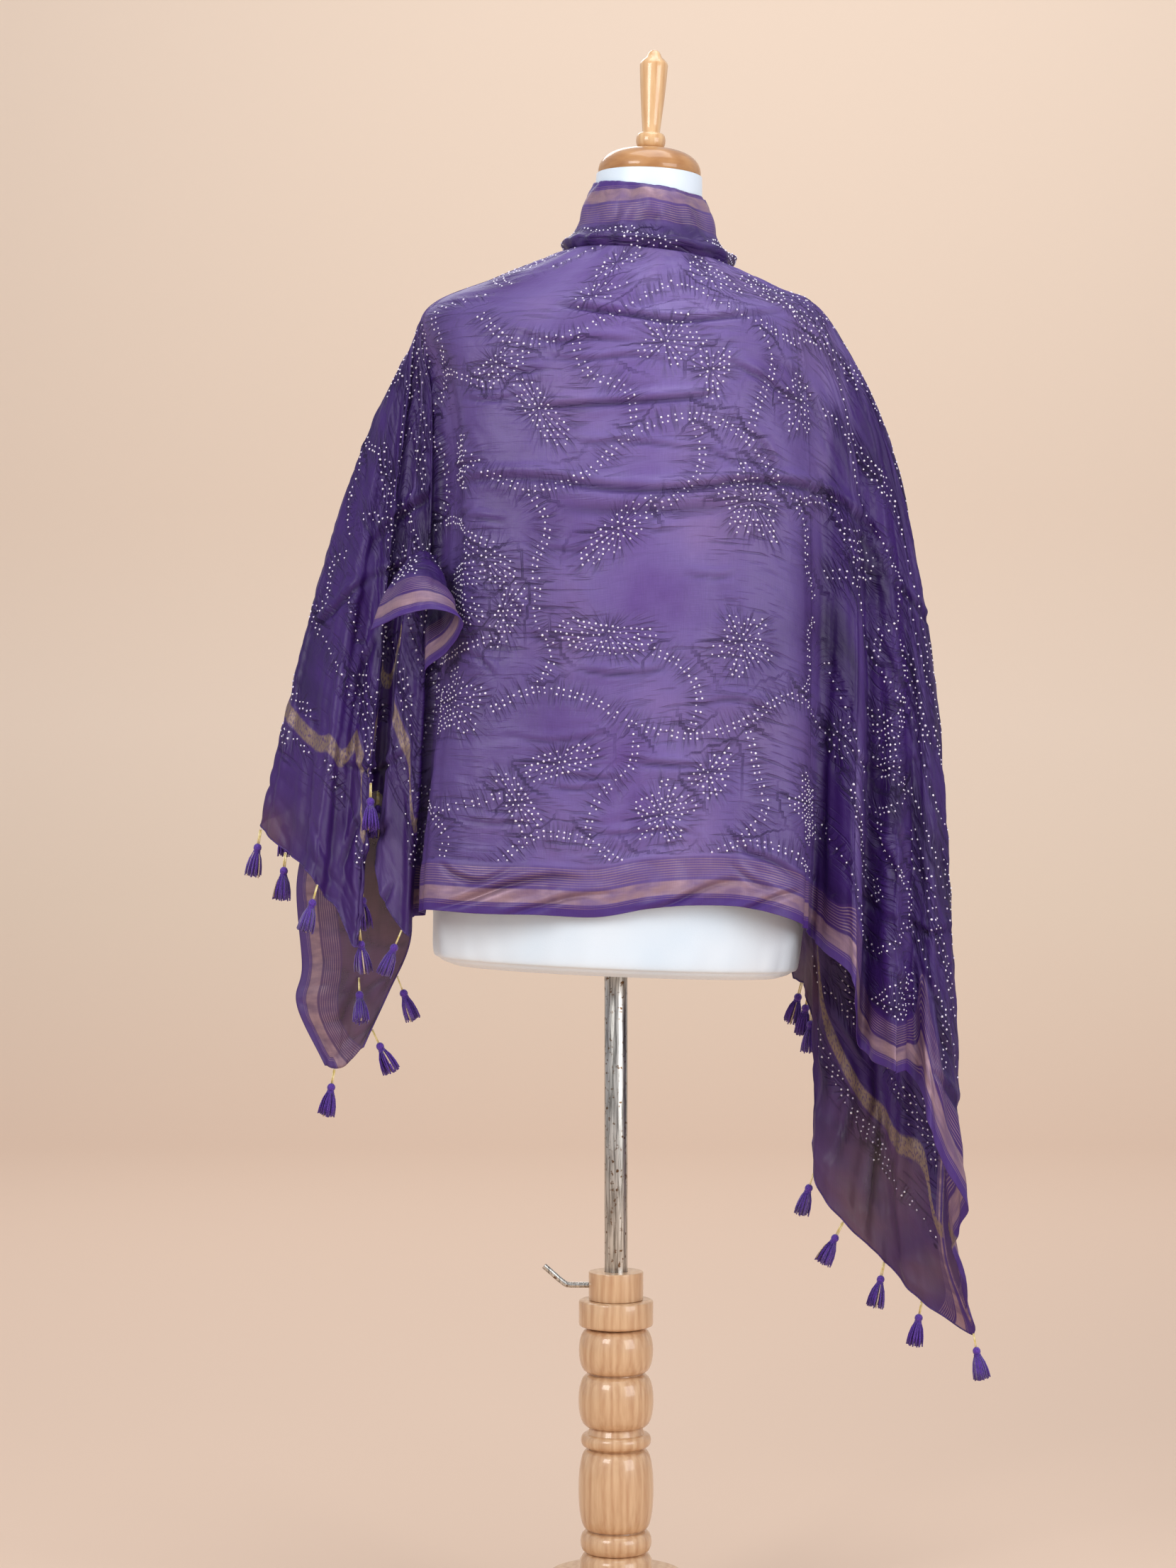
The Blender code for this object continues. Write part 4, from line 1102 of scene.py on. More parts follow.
# %% Cloth meshes
def cloth_piece(name, points, made, nodes):
    """The sheet through an array of points, with its places in the cut and its dye from made."""
    rows, columns = points.shape[:2]
    bm = bmesh.new()
    bmesh.ops.create_grid(bm, x_segments=columns - 1, y_segments=rows - 1, size=0.5)
    mesh = mesh_from(name, bm)
    mesh.vertices.foreach_set("co", points[::-1].astype(np.float32).ravel())
    corners = np.empty(len(mesh.loops), dtype=np.int32)
    mesh.loops.foreach_get("vertex_index", corners)
    along = np.broadcast_to(made["along"], made["climb"].shape)
    maps = {
        "cut": np.stack([made["end"], made["hem"]], -1),
        "weave": np.stack([along, made["climb"]], -1),
        "pucker": made["pucker"],
    }
    for layer, values in maps.items():
        layer = mesh.uv_layers.new(name=layer)
        layer.data.foreach_set("uv", values[::-1].reshape(-1, 2)[corners].astype(np.float32).ravel())
    for key in ("tied", "lit", "valley", "sheer"):
        layer = mesh.attributes.new(key, "FLOAT", "POINT")
        layer.data.foreach_set("value", made[key][::-1].astype(np.float32).ravel())
    mesh.update()
    cloth = finished(name, mesh, [SILK], "form", nodes)
    solid = cloth.modifiers.new("wall", "SOLIDIFY")
    solid.thickness = WALL
    solid.offset = 0
    return cloth


for made in stretches:
    made["object"] = cloth_piece(made["name"], made["worn"], made, made["nodes"])

# %% [markdown]
# ## Collar
# Round the neck the stole's other long edge stands up as a collar, so its border runs along the top. It is
# a ring of the neck's own shape, swept up a curved side, with soft slanting folds pressed into it.

# %% Collar
# How far the collar's side stands out from the neck ring, and how high, in metres, from its foot to its top
COLLAR = (
    (-0.0012, -0.0022),
    (0.0048, 0.0046),
    (0.0044, 0.0105),
    (-0.0060, 0.0155),
    (-0.0130, 0.0260),
    (-0.0150, 0.0420),
    (-0.0190, 0.0560),
    (-0.0240, 0.0650),
)
# Folds of the collar: turn in degrees at its foot, how far that leans by its top, half width, height in mm
COLLAR_FOLDS = (
    (-150, 40, 9, 1.6),
    (-104, 46, 8, 2.2),
    (-52, 52, 7, 2.4),
    (-24, 30, 5, 1.4),
    (10, -24, 6, 1.2),
    (38, -46, 7, 2.6),
    (66, -40, 6, 1.8),
    (96, -30, 9, 2.4),
    (140, -34, 8, 1.8),
)


def collar_points(columns, rows):
    """Points of the collar from its top down; it closes on itself at the front."""
    turn = np.radians(np.linspace(-180, 180, columns))[None, :]
    share = np.linspace(0, 1, rows)[:, None]
    out, rise = (spline_weights(np.linspace(0, len(COLLAR) - 1, rows), len(COLLAR)) @ np.array(COLLAR)).T
    pleat = 1 + 0.0022 * np.sin(3 * turn + 5 * share) * share * (1 - share) * 4 / 0.02
    reach = out[:, None] * pleat
    ring = neck_points(np.broadcast_to(turn, reach.shape))
    flare = np.stack([np.sin(turn) + 0 * share, -np.cos(turn) + 0 * share], -1)
    up = rise[:, None, None] + 0 * reach[..., None]
    points = ring + np.concatenate([flare * reach[..., None], up], -1)
    for start, lean, width, height in COLLAR_FOLDS:
        away = (np.degrees(turn) - start - lean * share + 180) % 360 - 180
        trough = 0.6 * np.exp(-(((away + 1.9 * width) / width) ** 2))
        fold = height * MM * (np.exp(-((away / width) ** 2)) - trough)
        fold = fold * np.sin(math.pi * np.clip(share * 0.9 + 0.06, 0, 1)) ** 0.6
        points[..., :2] += flare * fold[..., None]
    points[:, -1] = points[:, 0]
    return points[::-1]


def small_cloth(name, points, hem, end, nodes, along_start, lit=1.0):
    """A stretch of its own small shape, crumpled and dyed as the large ones are."""
    made = {"name": name, "hem": hem, "end": end, "climb": arc_lengths(points[::-1], 0)[::-1]}
    made["along"] = along_start + arc_lengths(points[len(points) // 2], 0)
    wide = np.broadcast_to(made["along"], made["climb"].shape)
    made["tied"], made["pucker"] = tied_near(made)
    shift = crumple(wide * 40, made["climb"] * 55, 2) * 0.0022
    shift = shift + crumple(wide * 95, made["climb"] * 60, 0) * 0.0009
    inner = np.minimum(np.linspace(0, 1, points.shape[1]), np.linspace(1, 0, points.shape[1]))
    shift = shift * np.clip(inner / 0.04, 0, 1)
    # Painted shade in the valleys of the crumple
    made["valley"] = np.clip(-shift * 450 - 0.55, 0, 0.8)
    outward = normals_of(points)
    made["worn"] = points + outward * (shift + 0.0010)[..., None]
    # Painted light: the lit form behind, painted in as a paler colour and scaled by lit
    made["lit"] = painted_form_light(points, outward) * lit
    made["sheer"] = np.broadcast_to(float(end.max() < FAR), wide.shape)
    made["object"] = cloth_piece(name, made["worn"], made, nodes)
    stretches.append(made)


COLLAR_COLUMNS = 180
collar = collar_points(COLLAR_COLUMNS, 40)
turns = np.linspace(-math.pi, math.pi, COLLAR_COLUMNS)
collar_hem = arc_lengths(collar, 0) + 0.002
collar_hem = collar_hem + 0.005 * np.sin(turns + 0.6)[None, :]
# Painted light: near its top the collar lies against the pale neck and is painted pale, and lower down it
# stands clear in folds and is painted darker
collar_lit = np.interp(collar_hem, (0.036, 0.052), (0.9, 0.16))
no_end = np.full_like(collar_hem, FAR)
small_cloth("collar_cloth", collar, collar_hem, no_end, ("stole_collar",), 0.0, collar_lit)
weld = bmesh.new()
weld.from_mesh(stretches[-1]["object"].data)
bmesh.ops.remove_doubles(weld, verts=weld.verts, dist=2 * ONE_POINT)
weld.to_mesh(stretches[-1]["object"].data)
weld.free()

# %% [markdown]
# ## Hanging corner and flounce
# Behind the left wing the cloth's corner hangs lower than the rest, and a bit of bordered edge spills out
# of the recess beside the back. Each is a smooth surface through a few rows of points, tied to the drape at
# one point.

# %% Hanging corner and flounce
def through_rows(point_rows, columns, rows):
    """The smooth surface through rows of points in millimetres, as rows of columns."""
    table = np.array([[tuple(point) for point in row] for row in point_rows], float) * MM
    across = spline_weights(np.linspace(0, table.shape[1] - 1, columns), table.shape[1])
    down = spline_weights(np.linspace(0, table.shape[0] - 1, rows), table.shape[0])
    return np.einsum("cj,ijx,ri->rcx", across, table, down)


def drape_point(fold_place, down):
    """One point of the drape in millimetres."""
    return drape([fold_place], [down])[0, 0] / MM


PLEAT_EDGE = drape_point(FOLD_INDEX["inner pleat"] + 0.5, 1.0) + (0, 1.9, 1.0)
LEFT_END_ROWS = (
    ((-300, 8, 790), (-264, -16, 800), PLEAT_EDGE, (-205, -6, 812)),
    ((-312, 18, 733), (-276, -4, 738), (-236, -4, 742), (-203, -4, 748)),
    ((-307, 20, 655), (-272, 2, 662), (-236, 16, 672), (-200, 6, 684)),
    ((-312, 18, 617), (-281, 6, 610), (-252, 20, 612), (-223, 26, 630)),
    ((-284, 12, 558), (-275, 10, 555), (-264, 14, 558), (-248, 20, 575)),
)
FLOUNCE_ROOT = drape_point(FOLD_INDEX["second fold"], 7.5 / 12) - (0, 1.4, 0)
RUFFLE_ROWS = (
    ((-196, -56, 1052), (-188, -62, 1056), (-178, -60, 1054),
     (-172, -52, 1050), (-174, -44, 1046), FLOUNCE_ROOT),
    ((-220, -80, 1012), (-198, -102, 1026), (-174, -104, 1026),
     (-156, -100, 1012), (-164, -84, 996), (-182, -74, 988)),
    ((-232, -92, 978), (-204, -124, 990), (-172, -132, 996),
     (-144, -132, 984), (-158, -114, 958), (-182, -100, 940)),
)
CORNER_COLUMNS = 44

corner_points = through_rows(LEFT_END_ROWS, CORNER_COLUMNS, 80)
from_left = arc_lengths(corner_points, 1)
from_right = from_left[:, -1:] - from_left
from_foot = arc_lengths(corner_points[::-1], 0)[::-1]
corner_share = np.linspace(0, 1, CORNER_COLUMNS)[None, :]
corner_hem = np.minimum(from_left, from_foot + 0.10 * np.clip(corner_share - 0.35, 0, 1))
corner_end = np.minimum(from_right, from_foot + 0.10 * np.clip(0.30 - corner_share, 0, 1)) * 0.8
small_cloth("left_corner_cloth", corner_points, corner_hem, corner_end, ("stole_left_end",), 0.9, 0.3)

flounce_points = through_rows(RUFFLE_ROWS, 90, 40)
flounce_hem = arc_lengths(flounce_points[::-1], 0)[::-1]
no_end = np.full_like(flounce_hem, FAR)
small_cloth("flounce_cloth", flounce_points, flounce_hem, no_end, ("stole_left_flounce",), 1.3, 0.4)

# %% [markdown]
# ## Finding the place of each dot
# Each dot's place in the layout is looked up on the wrinkled surface. Where the drape brings dots too close
# together, as on the shoulders, some are left out, or they would run into dashes.

# %% Places of the dots
CLOSEST_DOTS = 0.0044


def placed_dots(made):
    """Places and normals of the dots that fall on one stretch."""
    along, climb, worn = made["along"], made["climb"], made["worn"]
    normal = normals_of(worn)
    rows = np.arange(len(climb))
    places = []
    for x, y in DOTS[(DOTS[:, 0] > along[0]) & (DOTS[:, 0] < along[-1]), :2]:
        column = np.interp(x, along, np.arange(len(along)))
        c = min(int(column), len(along) - 2)
        t = column - c
        heights = climb[:, c] * (1 - t) + climb[:, c + 1] * t
        if y >= heights[0]:
            continue
        row = np.interp(y, heights[::-1], rows[::-1])
        r = min(int(row), len(rows) - 2)
        s = row - r

        def read(values):
            top = values[r, c] * (1 - t) + values[r, c + 1] * t
            return top * (1 - s) + (values[r + 1, c] * (1 - t) + values[r + 1, c + 1] * t) * s

        if dotted(read(made["end"]), read(made["hem"])):
            places.append((*read(worn), *read(normal)))
    kept = thinned([place[:3] for place in places], CLOSEST_DOTS)
    return np.array([places[index] for index in kept]).reshape(-1, 6)


spots = [placed_dots(made) for made in stretches]
print("dots on each stretch:", [len(places) for places in spots])

# %% [markdown]
# ## Setting the dots
# Each dot is a small flattened bead half sunk in the cloth, so that it shows on both sides, as resist-dyed
# spots do. One bead is made with bmesh, then copied to every place and turned to the cloth's normal there.

# %% Dots on the cloth
# Real ties stand up less; these are a little taller, so that they still show from some metres away
DOT_RADIUS = 0.0013
DOT_HEIGHT = 0.0013


def dots_piece(name, places, material):
    """Many small beads as one mesh: one bead is made, then copied to every place."""
    bead = bmesh.new()
    bmesh.ops.create_uvsphere(bead, u_segments=6, v_segments=2, radius=1)
    shape = np.array([vert.co for vert in bead.verts])
    faces = [[vert.index for vert in face.verts] for face in bead.faces]
    bead.free()
    up = places[:, 3:] / np.linalg.norm(places[:, 3:], axis=1, keepdims=True)
    side = np.cross(up, [0.31, 0.12, 0.94])
    side /= np.linalg.norm(side, axis=1, keepdims=True)
    third = np.cross(up, side)
    sizes = RANDOM.uniform(0.82, 1.12, len(places))[:, None, None]
    local = shape[None] * [DOT_RADIUS, DOT_RADIUS, DOT_HEIGHT] * sizes
    points = places[:, None, :3] + local[..., :1] * side[:, None] + local[..., 1:2] * third[:, None]
    points = points + local[..., 2:] * up[:, None]
    offsets = np.arange(len(places)) * len(shape)
    copies = [[index + offset for index in face] for offset in offsets.tolist() for face in faces]
    mesh = bpy.data.meshes.new(name)
    mesh.from_pydata(points.reshape(-1, 3).tolist(), [], copies)
    return finished(name, mesh, [material], "form")


# Silk that the tie kept from the dye: matt and nearly white, with a little of the purple that crept in, in
# patches of 2.4 mm, so that one dot is paler than the next
UNDYED = speckled("undyed silk spots", {"Roughness": 0.6}, ((0.30, "#D2C2E4"), (0.62, "#FAF6FF")), 420.0, 1.0)
for made, places in zip(stretches, spots):
    if len(places):
        dots_piece(made["name"].replace("_cloth", "_dots"), places, UNDYED)
print("dots in all:", sum(len(places) for places in spots))

# %% [markdown]
# ## Rolled hems
# The short ends are finished with a narrow rolled hem, a cord of cloth about a millimetre and a half thick.
# It is a bevelled curve along the edge of the wrinkled cloth, turned into a mesh.

# %% Hems
HEM_ROLL = 0.0008
# Silk rolled under the finger and whipped: rounder and so a little glossier than the flat cloth, with the
# thread's turns, about 3 mm apart, as a change of tone
HEM = speckled("rolled silk hem", {"Roughness": 0.5}, ((0.35, "#2E1850"), (0.65, "#4A2A78")), 300.0)


def rolled_hem(name, path):
    """A rolled hem along a path of points."""
    mesh = rod_mesh(name, path.tolist(), HEM_ROLL, 1)
    mesh.materials.clear()
    return finished(name, mesh, [HEM], "form")


by_name = {made["name"]: made for made in stretches}
for name in ("left_front_cloth", "left_wing_cloth", "right_front_cloth"):
    rolled_hem(name.replace("cloth", "hem"), by_name[name]["worn"][-1])
right_wing = by_name["right_wing_cloth"]
past_corner = right_wing["folds"] >= FOLD_INDEX["right corner b"]
rolled_hem("right_wing_hem", right_wing["worn"][-1][past_corner])
rolled_hem("left_corner_hem", by_name["left_corner_cloth"]["worn"][::-1, -1])
print("hems are", round(2 * HEM_ROLL / MM, 1), "mm thick")

# %% [markdown]
# ## Tassels
# Each tassel hangs from a loop threaded with two pale glass bugle beads. Below them is a wound knob of
# thread and a skirt of loose strands, with a beige one here and there. A strand is a three-sided tube of a
# few rings, as 34 tassels have over two thousand of them.

# %% Tassel
BEAD_LENGTH = 0.0140
SKIRT_STRANDS = 72


def add_tube(bm, path, radii, sides, material_index):
    """A tube through the points of a path, closed at both ends."""
    before = None
    for place, radius in zip(path, radii):
        ring = bmesh.ops.create_circle(bm, segments=sides, radius=radius)["verts"]
        bmesh.ops.translate(bm, verts=ring, vec=place)
        if before:
            edges = [edge for loop in (before, ring) for edge in {e for v in loop for e in v.link_edges}
                     if edge.verts[0] in loop and edge.verts[1] in loop]
            for face in bmesh.ops.bridge_loops(bm, edges=edges)["faces"]:
                face.material_index = material_index
        before = ring
    return before


def tassel_shape(seed):
    """One tassel that hangs straight down from the origin; each seed gives other strands."""
    random = np.random.default_rng(seed)
    bm = bmesh.new()
    for side in (-1, 1):
        bugle = [(side * 0.00085, 0, -0.0004), (side * 0.00095, 0, -BEAD_LENGTH)]
        add_tube(bm, bugle, [0.0007, 0.0007], 6, 1)
    add_tube(bm, [(0, 0, 0.0003), (0, 0, -0.0006)], [0.0009, 0.0013], 6, 2)
    knob = bmesh.ops.create_uvsphere(bm, u_segments=10, v_segments=7, radius=0.0041)["verts"]
    bmesh.ops.scale(bm, verts=knob, vec=(1, 1, 1.05))
    bmesh.ops.translate(bm, verts=knob, vec=(0, 0, -0.0182))
    for turn in range(3):
        height = -0.0212 - 0.0008 * turn
        binding = [(0, 0, height), (0, 0, height - 0.0003), (0, 0, height - 0.0007)]
        add_tube(bm, binding, [0.0034, 0.0038, 0.0034], 12, 0)
    for strand in range(SKIRT_STRANDS):
        angle = random.uniform(0, 2 * math.pi)
        root = 0.0032 * math.sqrt(random.uniform(0.02, 1))
        flare = root * random.uniform(1.9, 2.9) + 0.0004
        length = random.uniform(0.0212, 0.0245)
        curl = random.uniform(-0.0009, 0.0009)
        path = []
        for share in (0, 0.3, 0.65, 1):
            radius = root + (flare - root) * share**0.7 + 0.0007 * math.sin(math.pi * share)
            x = radius * math.cos(angle) + curl * share * share
            y = radius * math.sin(angle) - curl * share
            path.append((x, y, -0.0222 - length * share))
        add_tube(bm, path, [0.0005, 0.00085, 0.00095, 0.0008], 3, 2 if strand % 24 == 7 else 0)
    bmesh.ops.holes_fill(bm, edges=[edge for edge in bm.edges if edge.is_boundary])
    bmesh.ops.recalc_face_normals(bm, faces=bm.faces)
    return mesh_from("tassel_shape", bm)


TASSEL_SHAPES = [tassel_shape(seed) for seed in range(5)]
print("faces of each shape:", [len(shape.polygons) for shape in TASSEL_SHAPES])

# %% [markdown]
# ## Thread, glass and hanging the tassels
# The solids say where each tassel hangs and how it leans: its axis is the long direction of its own solid.
# Five shapes are enough, because each is also turned by chance about its own axis.

# %% Hanging the tassels
# Soft twisted cotton: its fibres scatter light, so it looks matt with a faint bright edge. Strands are 1 mm
# thick, and so are the specks of tone
PURPLE_THREAD, BEIGE_THREAD = [
    speckled(
        name, {"Roughness": rough, "Sheen Weight": 0.3}, ((0.30, dark), (0.66, light)), 900.0, 1.0, 0.3 * MM
    )
    for name, rough, dark, light in (
        ("purple cotton thread", 0.65, "#340E72", "#5C2AA6"),
        ("beige cotton thread", 0.70, "#B49A84", "#DCC6AE"),
    )
]
# Drawn glass tube, cut and fire-polished: hard, bright glints on a pale yellow body
GLASS = {"Roughness": 0.12, "IOR": 1.52, "Coat Weight": 0.6}
GLASS_BEAD = speckled("pale yellow glass bugle", GLASS, ((0.35, "#D8C06E"), (0.65, "#F4E6B0")), 260.0)


def solid_points(name):
    """The points of a solid's mesh as an array."""
    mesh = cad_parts[name].data
    points = np.empty(len(mesh.vertices) * 3)
    mesh.vertices.foreach_get("co", points)
    return points.reshape(-1, 3)


def tassel_axis(points):
    """The top of a tassel's solid and its direction: the bead is thin, the skirt is wide."""
    centre = points.mean(axis=0)
    axis = np.linalg.svd(points - centre, full_matrices=False)[2][0]
    if axis[2] > 0:
        axis = -axis
    along = points @ axis
    top = points[along < along.min() + 0.0008].mean(axis=0)
    low = points[along > along.min() + 0.030].mean(axis=0)
    axis = (low - top) / np.linalg.norm(low - top)
    return Vector(top), Vector(axis)


tassel_nodes = sorted(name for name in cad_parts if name.startswith("tassel"))
for index, name in enumerate(tassel_nodes):
    top, axis = tassel_axis(solid_points(name))
    turn = Matrix.Rotation(RANDOM.uniform(0, 6.28), 4, "Z")
    lean = Vector((0, 0, -1)).rotation_difference(axis).to_matrix().to_4x4()
    mesh = TASSEL_SHAPES[index % len(TASSEL_SHAPES)].copy()
    mesh.name = name + "_threads"
    mesh.transform(Matrix.Translation(top) @ lean @ turn)
    threads = [PURPLE_THREAD, GLASS_BEAD, BEIGE_THREAD]
    finished(name + "_threads", mesh, threads, "form", [name])
print("tassels:", len(tassel_nodes))

# %% [markdown]
# ## Dress form
# The torso is a foam body in a tight, glossy blue-white knit cover. It is a stack of rings on a smooth
# curve through the same sections as its solid, closed at the bottom, with shallow crumples where the cover
# is gathered under the rim. It leans a little, as its pole does not quite fill its socket.

# %% Torso
TORSO_SIDES = 96
TORSO_RINGS = 150
LEAN = Matrix.Translation((0, 0, FORM_BOTTOM_Z)) @ Matrix.Rotation(FORM_LEAN, 4, "Y")
SHARP_ANGLE = math.radians(48)


def hard_piece(name, bm, material, body, node_name, matrix=None):
    """A piece of the form or its stand from a bmesh: smooth, but with its real corners kept sharp."""
    if matrix is not None:
        bmesh.ops.transform(bm, matrix=matrix, verts=bm.verts)
    made = finished(name, mesh_from(name, bm), [material], body, [node_name])
    made.data.set_sharp_from_angle(angle=SHARP_ANGLE)
    return made


def torso_shape():
    """Rings through the torso's sections, with the cover's gathers round the lower edge."""
    places = np.linspace(0, len(TORSO) - 1, TORSO_RINGS)
    table = spline_weights(places, len(TORSO)) @ np.array(TORSO)
    bm = bmesh.new()
    below = None
    for height, half_width, half_depth in table:
        ring = bmesh.ops.create_circle(bm, segments=TORSO_SIDES, radius=1)["verts"]
        for vert in ring:
            turn = math.atan2(vert.co.y, vert.co.x)
            low = math.exp(-((height - 0.012) / 0.022) ** 2)
            puckers = 0.0016 * low * math.sin(31 * turn + 2 * math.sin(3 * turn)) * math.sin(5 * turn + 1)
            vert.co.x *= half_width + puckers
            vert.co.y *= half_depth + puckers
            vert.co.z = height
        if below:
            edges = {edge for vert in (*below, *ring) for edge in vert.link_edges}
            bmesh.ops.bridge_loops(bm, edges=[edge for edge in edges if edge.is_wire or edge.is_boundary])
        below = ring
    bmesh.ops.holes_fill(bm, edges=[edge for edge in bm.edges if edge.is_boundary])
    bmesh.ops.recalc_face_normals(bm, faces=bm.faces)
    return bm


# A nylon knit stretched over foam: so smooth and tight that it looks like satin paint, with a broad soft
# highlight. Its stitches are 1 mm, which only the highlight's edge shows
KNIT_FINISH = {"Roughness": 0.38, "Sheen Weight": 0.25}
COVER, cover_tree, cover_shader = new_material("tight glossy knit cover", KNIT_FINISH)
cover_place = node(cover_tree, "TexCoord", output="Object")
cover_cloud = node(cover_tree, "TexNoise", {"Vector": cover_place, "Scale": 9.0})
cover_knit = node(cover_tree, "TexNoise", {"Vector": cover_place, "Scale": 900.0})
cover_tones = ((0.30, "#D8E8F6"), (0.70, "#EAF3FB"))
paint(cover_shader, {
    "Base Color": node(cover_tree, "ValToRGB", {0: cover_cloud}, stops=cover_tones),
    "Normal": node(cover_tree, "Bump", {"Height": cover_knit, "Distance": 0.12 * MM, "Strength": 1.0}),
})
torso = hard_piece("torso", torso_shape(), COVER, "form", "form_torso", LEAN)
print("torso faces:", len(torso.data.polygons))

# %% [markdown]
# ## Turned wood
# Each turned piece is a half outline spun round its axis with bmesh, from the same radii and heights as its
# solid. Beads between two necks and small rounded corners repeat, so each has a function.

# %% Turning
POLE_RADIUS = 0.0112
PIECE_GAP = 0.0003
BASE_RADIUS = 0.190
HUB_RADIUS = 0.070
BASE_TOP = 0.034
HUB_TOP = 0.066
PLATE_TOP = 0.331
BORE = POLE_RADIUS + PIECE_GAP


def turned(profile, steps):
    """Spins a half outline, running from axis to axis, once round the Z axis."""
    bm = bmesh.new()
    line = [bm.verts.new((radius, 0, height)) for radius, height in profile]
    edges = [bm.edges.new(pair) for pair in zip(line, line[1:])]
    bmesh.ops.spin(
        bm, geom=[*line, *edges], angle=2 * math.pi, steps=steps, axis=(0, 0, 1), cent=(0, 0, 0),
        use_merge=True,
    )
    bmesh.ops.remove_doubles(bm, verts=bm.verts, dist=ONE_POINT)
    bmesh.ops.recalc_face_normals(bm, faces=bm.faces)
    return bm


def swelling(radius, neck, centre, half_height, steps=12):
    """A rounded bead between two narrow necks."""
    angles = [math.pi * step / steps for step in range(steps + 1)]
    return [
        (neck + (radius - neck) * math.sin(angle) ** 0.7, centre + half_height * math.cos(angle))
        for angle in angles
    ]


def rounded(profile, radius=0.0012, steps=3):
    """Rounds each corner of a half outline, apart from its two ends, with a short arc."""
    points = [Vector(point) for point in profile]
    smooth = [points[0]]
    for before, corner, after in zip(points, points[1:], points[2:]):
        reach = min(radius, 0.4 * (before - corner).length, 0.4 * (after - corner).length)
        start = corner + (before - corner).normalized() * reach
        end = corner + (after - corner).normalized() * reach
        for step in range(steps + 1):
            share = step / steps
            to_corner = start * (1 - share) + corner * share
            from_corner = corner * (1 - share) + end * share
            smooth.append(to_corner * (1 - share) + from_corner * share)
    smooth.append(points[-1])
    return [tuple(point) for point in smooth]


print("bore:", round(2 * BORE / MM, 1), "mm for a pole of", round(2 * POLE_RADIUS / MM, 1), "mm")

# %% [markdown]
# ## Lacquered beech
# Cap, finial, base, hub, pillar and clamp block are beech or a like pale wood under thick lacquer. The
# grain runs up the turned pieces and across the flat base. Each piece of wood is cut from another place in
# the tree, so the same pattern is moved along for each.

# %% Wood
# Beech, turned and sanded, under a thick gloss lacquer: the coat gives sharp highlights, and below it the
# fine dark flecks are softened. Year rings are 6 to 12 mm wide, and pores drawn 1 mm wide, coarser than real
LACQUERED = {"Coat Weight": 0.7, "Coat Roughness": 0.08}
RINGS = {"Scale": 18.0, "Distortion": 7.0, "Detail": 3.0, "Detail Scale": 1.6}
PORES = {"Scale": 160.0, "Detail": 4.0}


def wood_material(name, dark, light, stretch, roughness, cut_from=(0, 0, 0)):
    """Lacquered wood whose grain runs along the axis with the smallest stretch."""
    made, tree, shader = new_material(name, LACQUERED | {"Roughness": roughness})
    place = node(tree, "TexCoord", output="Object")
    along = node(tree, "Mapping", {"Vector": place, "Scale": stretch, "Location": cut_from})
    rings = node(tree, "TexWave", {"Vector": along} | RINGS, "Fac", bands_direction="X")
    pores = node(tree, "TexNoise", {"Vector": along} | PORES)
    rings = node(tree, "Math", {0: rings, 1: 0.30}, **TIMES)
    pores = node(tree, "Math", {0: pores, 1: 0.70}, **TIMES)
    grain = node(tree, "Math", {0: rings, 1: pores}, **PLUS)
    paint(shader, {
        "Base Color": node(tree, "ValToRGB", {0: grain}, stops=((0.25, light), (0.80, dark))),
        "Normal": node(tree, "Bump", {"Height": grain, "Distance": 0.1 * MM, "Strength": 1.0}),
    })
    return made


UPRIGHT = (2.0, 2.0, 0.22)
HONEY_WOOD = wood_material("honey lacquered turned beech", "#BE9068", "#D9B48C", UPRIGHT, 0.36)
PALE_WOOD = wood_material("pale lacquered turned beech", "#CC9A66", "#E4BC8A", UPRIGHT, 0.32, (0.3, 0.2, 0))
CAP_WOOD = wood_material(
    "amber lacquered turned beech", "#A26C38", "#BE8A54", (0.5, 0.5, 1.6), 0.40, (0.1, 0, 0.2)
)
FLAT_WOOD = wood_material(
    "honey lacquered beech board", "#BC8E64", "#D8B088", (1.4, 0.16, 1.4), 0.36, (0, 0.1, 0.4)
)
print("woods:", [wood.name for wood in (HONEY_WOOD, PALE_WOOD, CAP_WOOD, FLAT_WOOD)])

# %% [markdown]
# ## Base, hub and pillar
# The pillar is bored right down for the pole, so its outline goes up inside before it comes down outside.
# The hub flares out onto the base in a thin foot, as glued stands have it.

# %% Stand
base_profile = rounded([
    (0, BASE_TOP),
    (0.150, BASE_TOP),
    (0.172, BASE_TOP - 0.004),
    (BASE_RADIUS - 0.004, BASE_TOP - 0.012),
    (BASE_RADIUS, BASE_TOP - 0.019),
    (BASE_RADIUS, 0.003),
    (BASE_RADIUS - 0.003, 0),
    (0, 0),
], 0.003, 4)
hard_piece("base", turned(base_profile, 96), FLAT_WOOD, "stand", "stand_base")
hub_profile = rounded([
    (0, HUB_TOP),
    (HUB_RADIUS - 0.006, HUB_TOP),
    (HUB_RADIUS, HUB_TOP - 0.006),
    (HUB_RADIUS, HUB_TOP - 0.016),
    (HUB_RADIUS - 0.005, HUB_TOP - 0.021),
    (HUB_RADIUS + 0.012, BASE_TOP + 0.004),
    (HUB_RADIUS + 0.016, BASE_TOP + PIECE_GAP),
    (0, BASE_TOP + PIECE_GAP),
], 0.002, 4)
hard_piece("hub", turned(hub_profile, 72), HONEY_WOOD, "stand", "stand_hub")
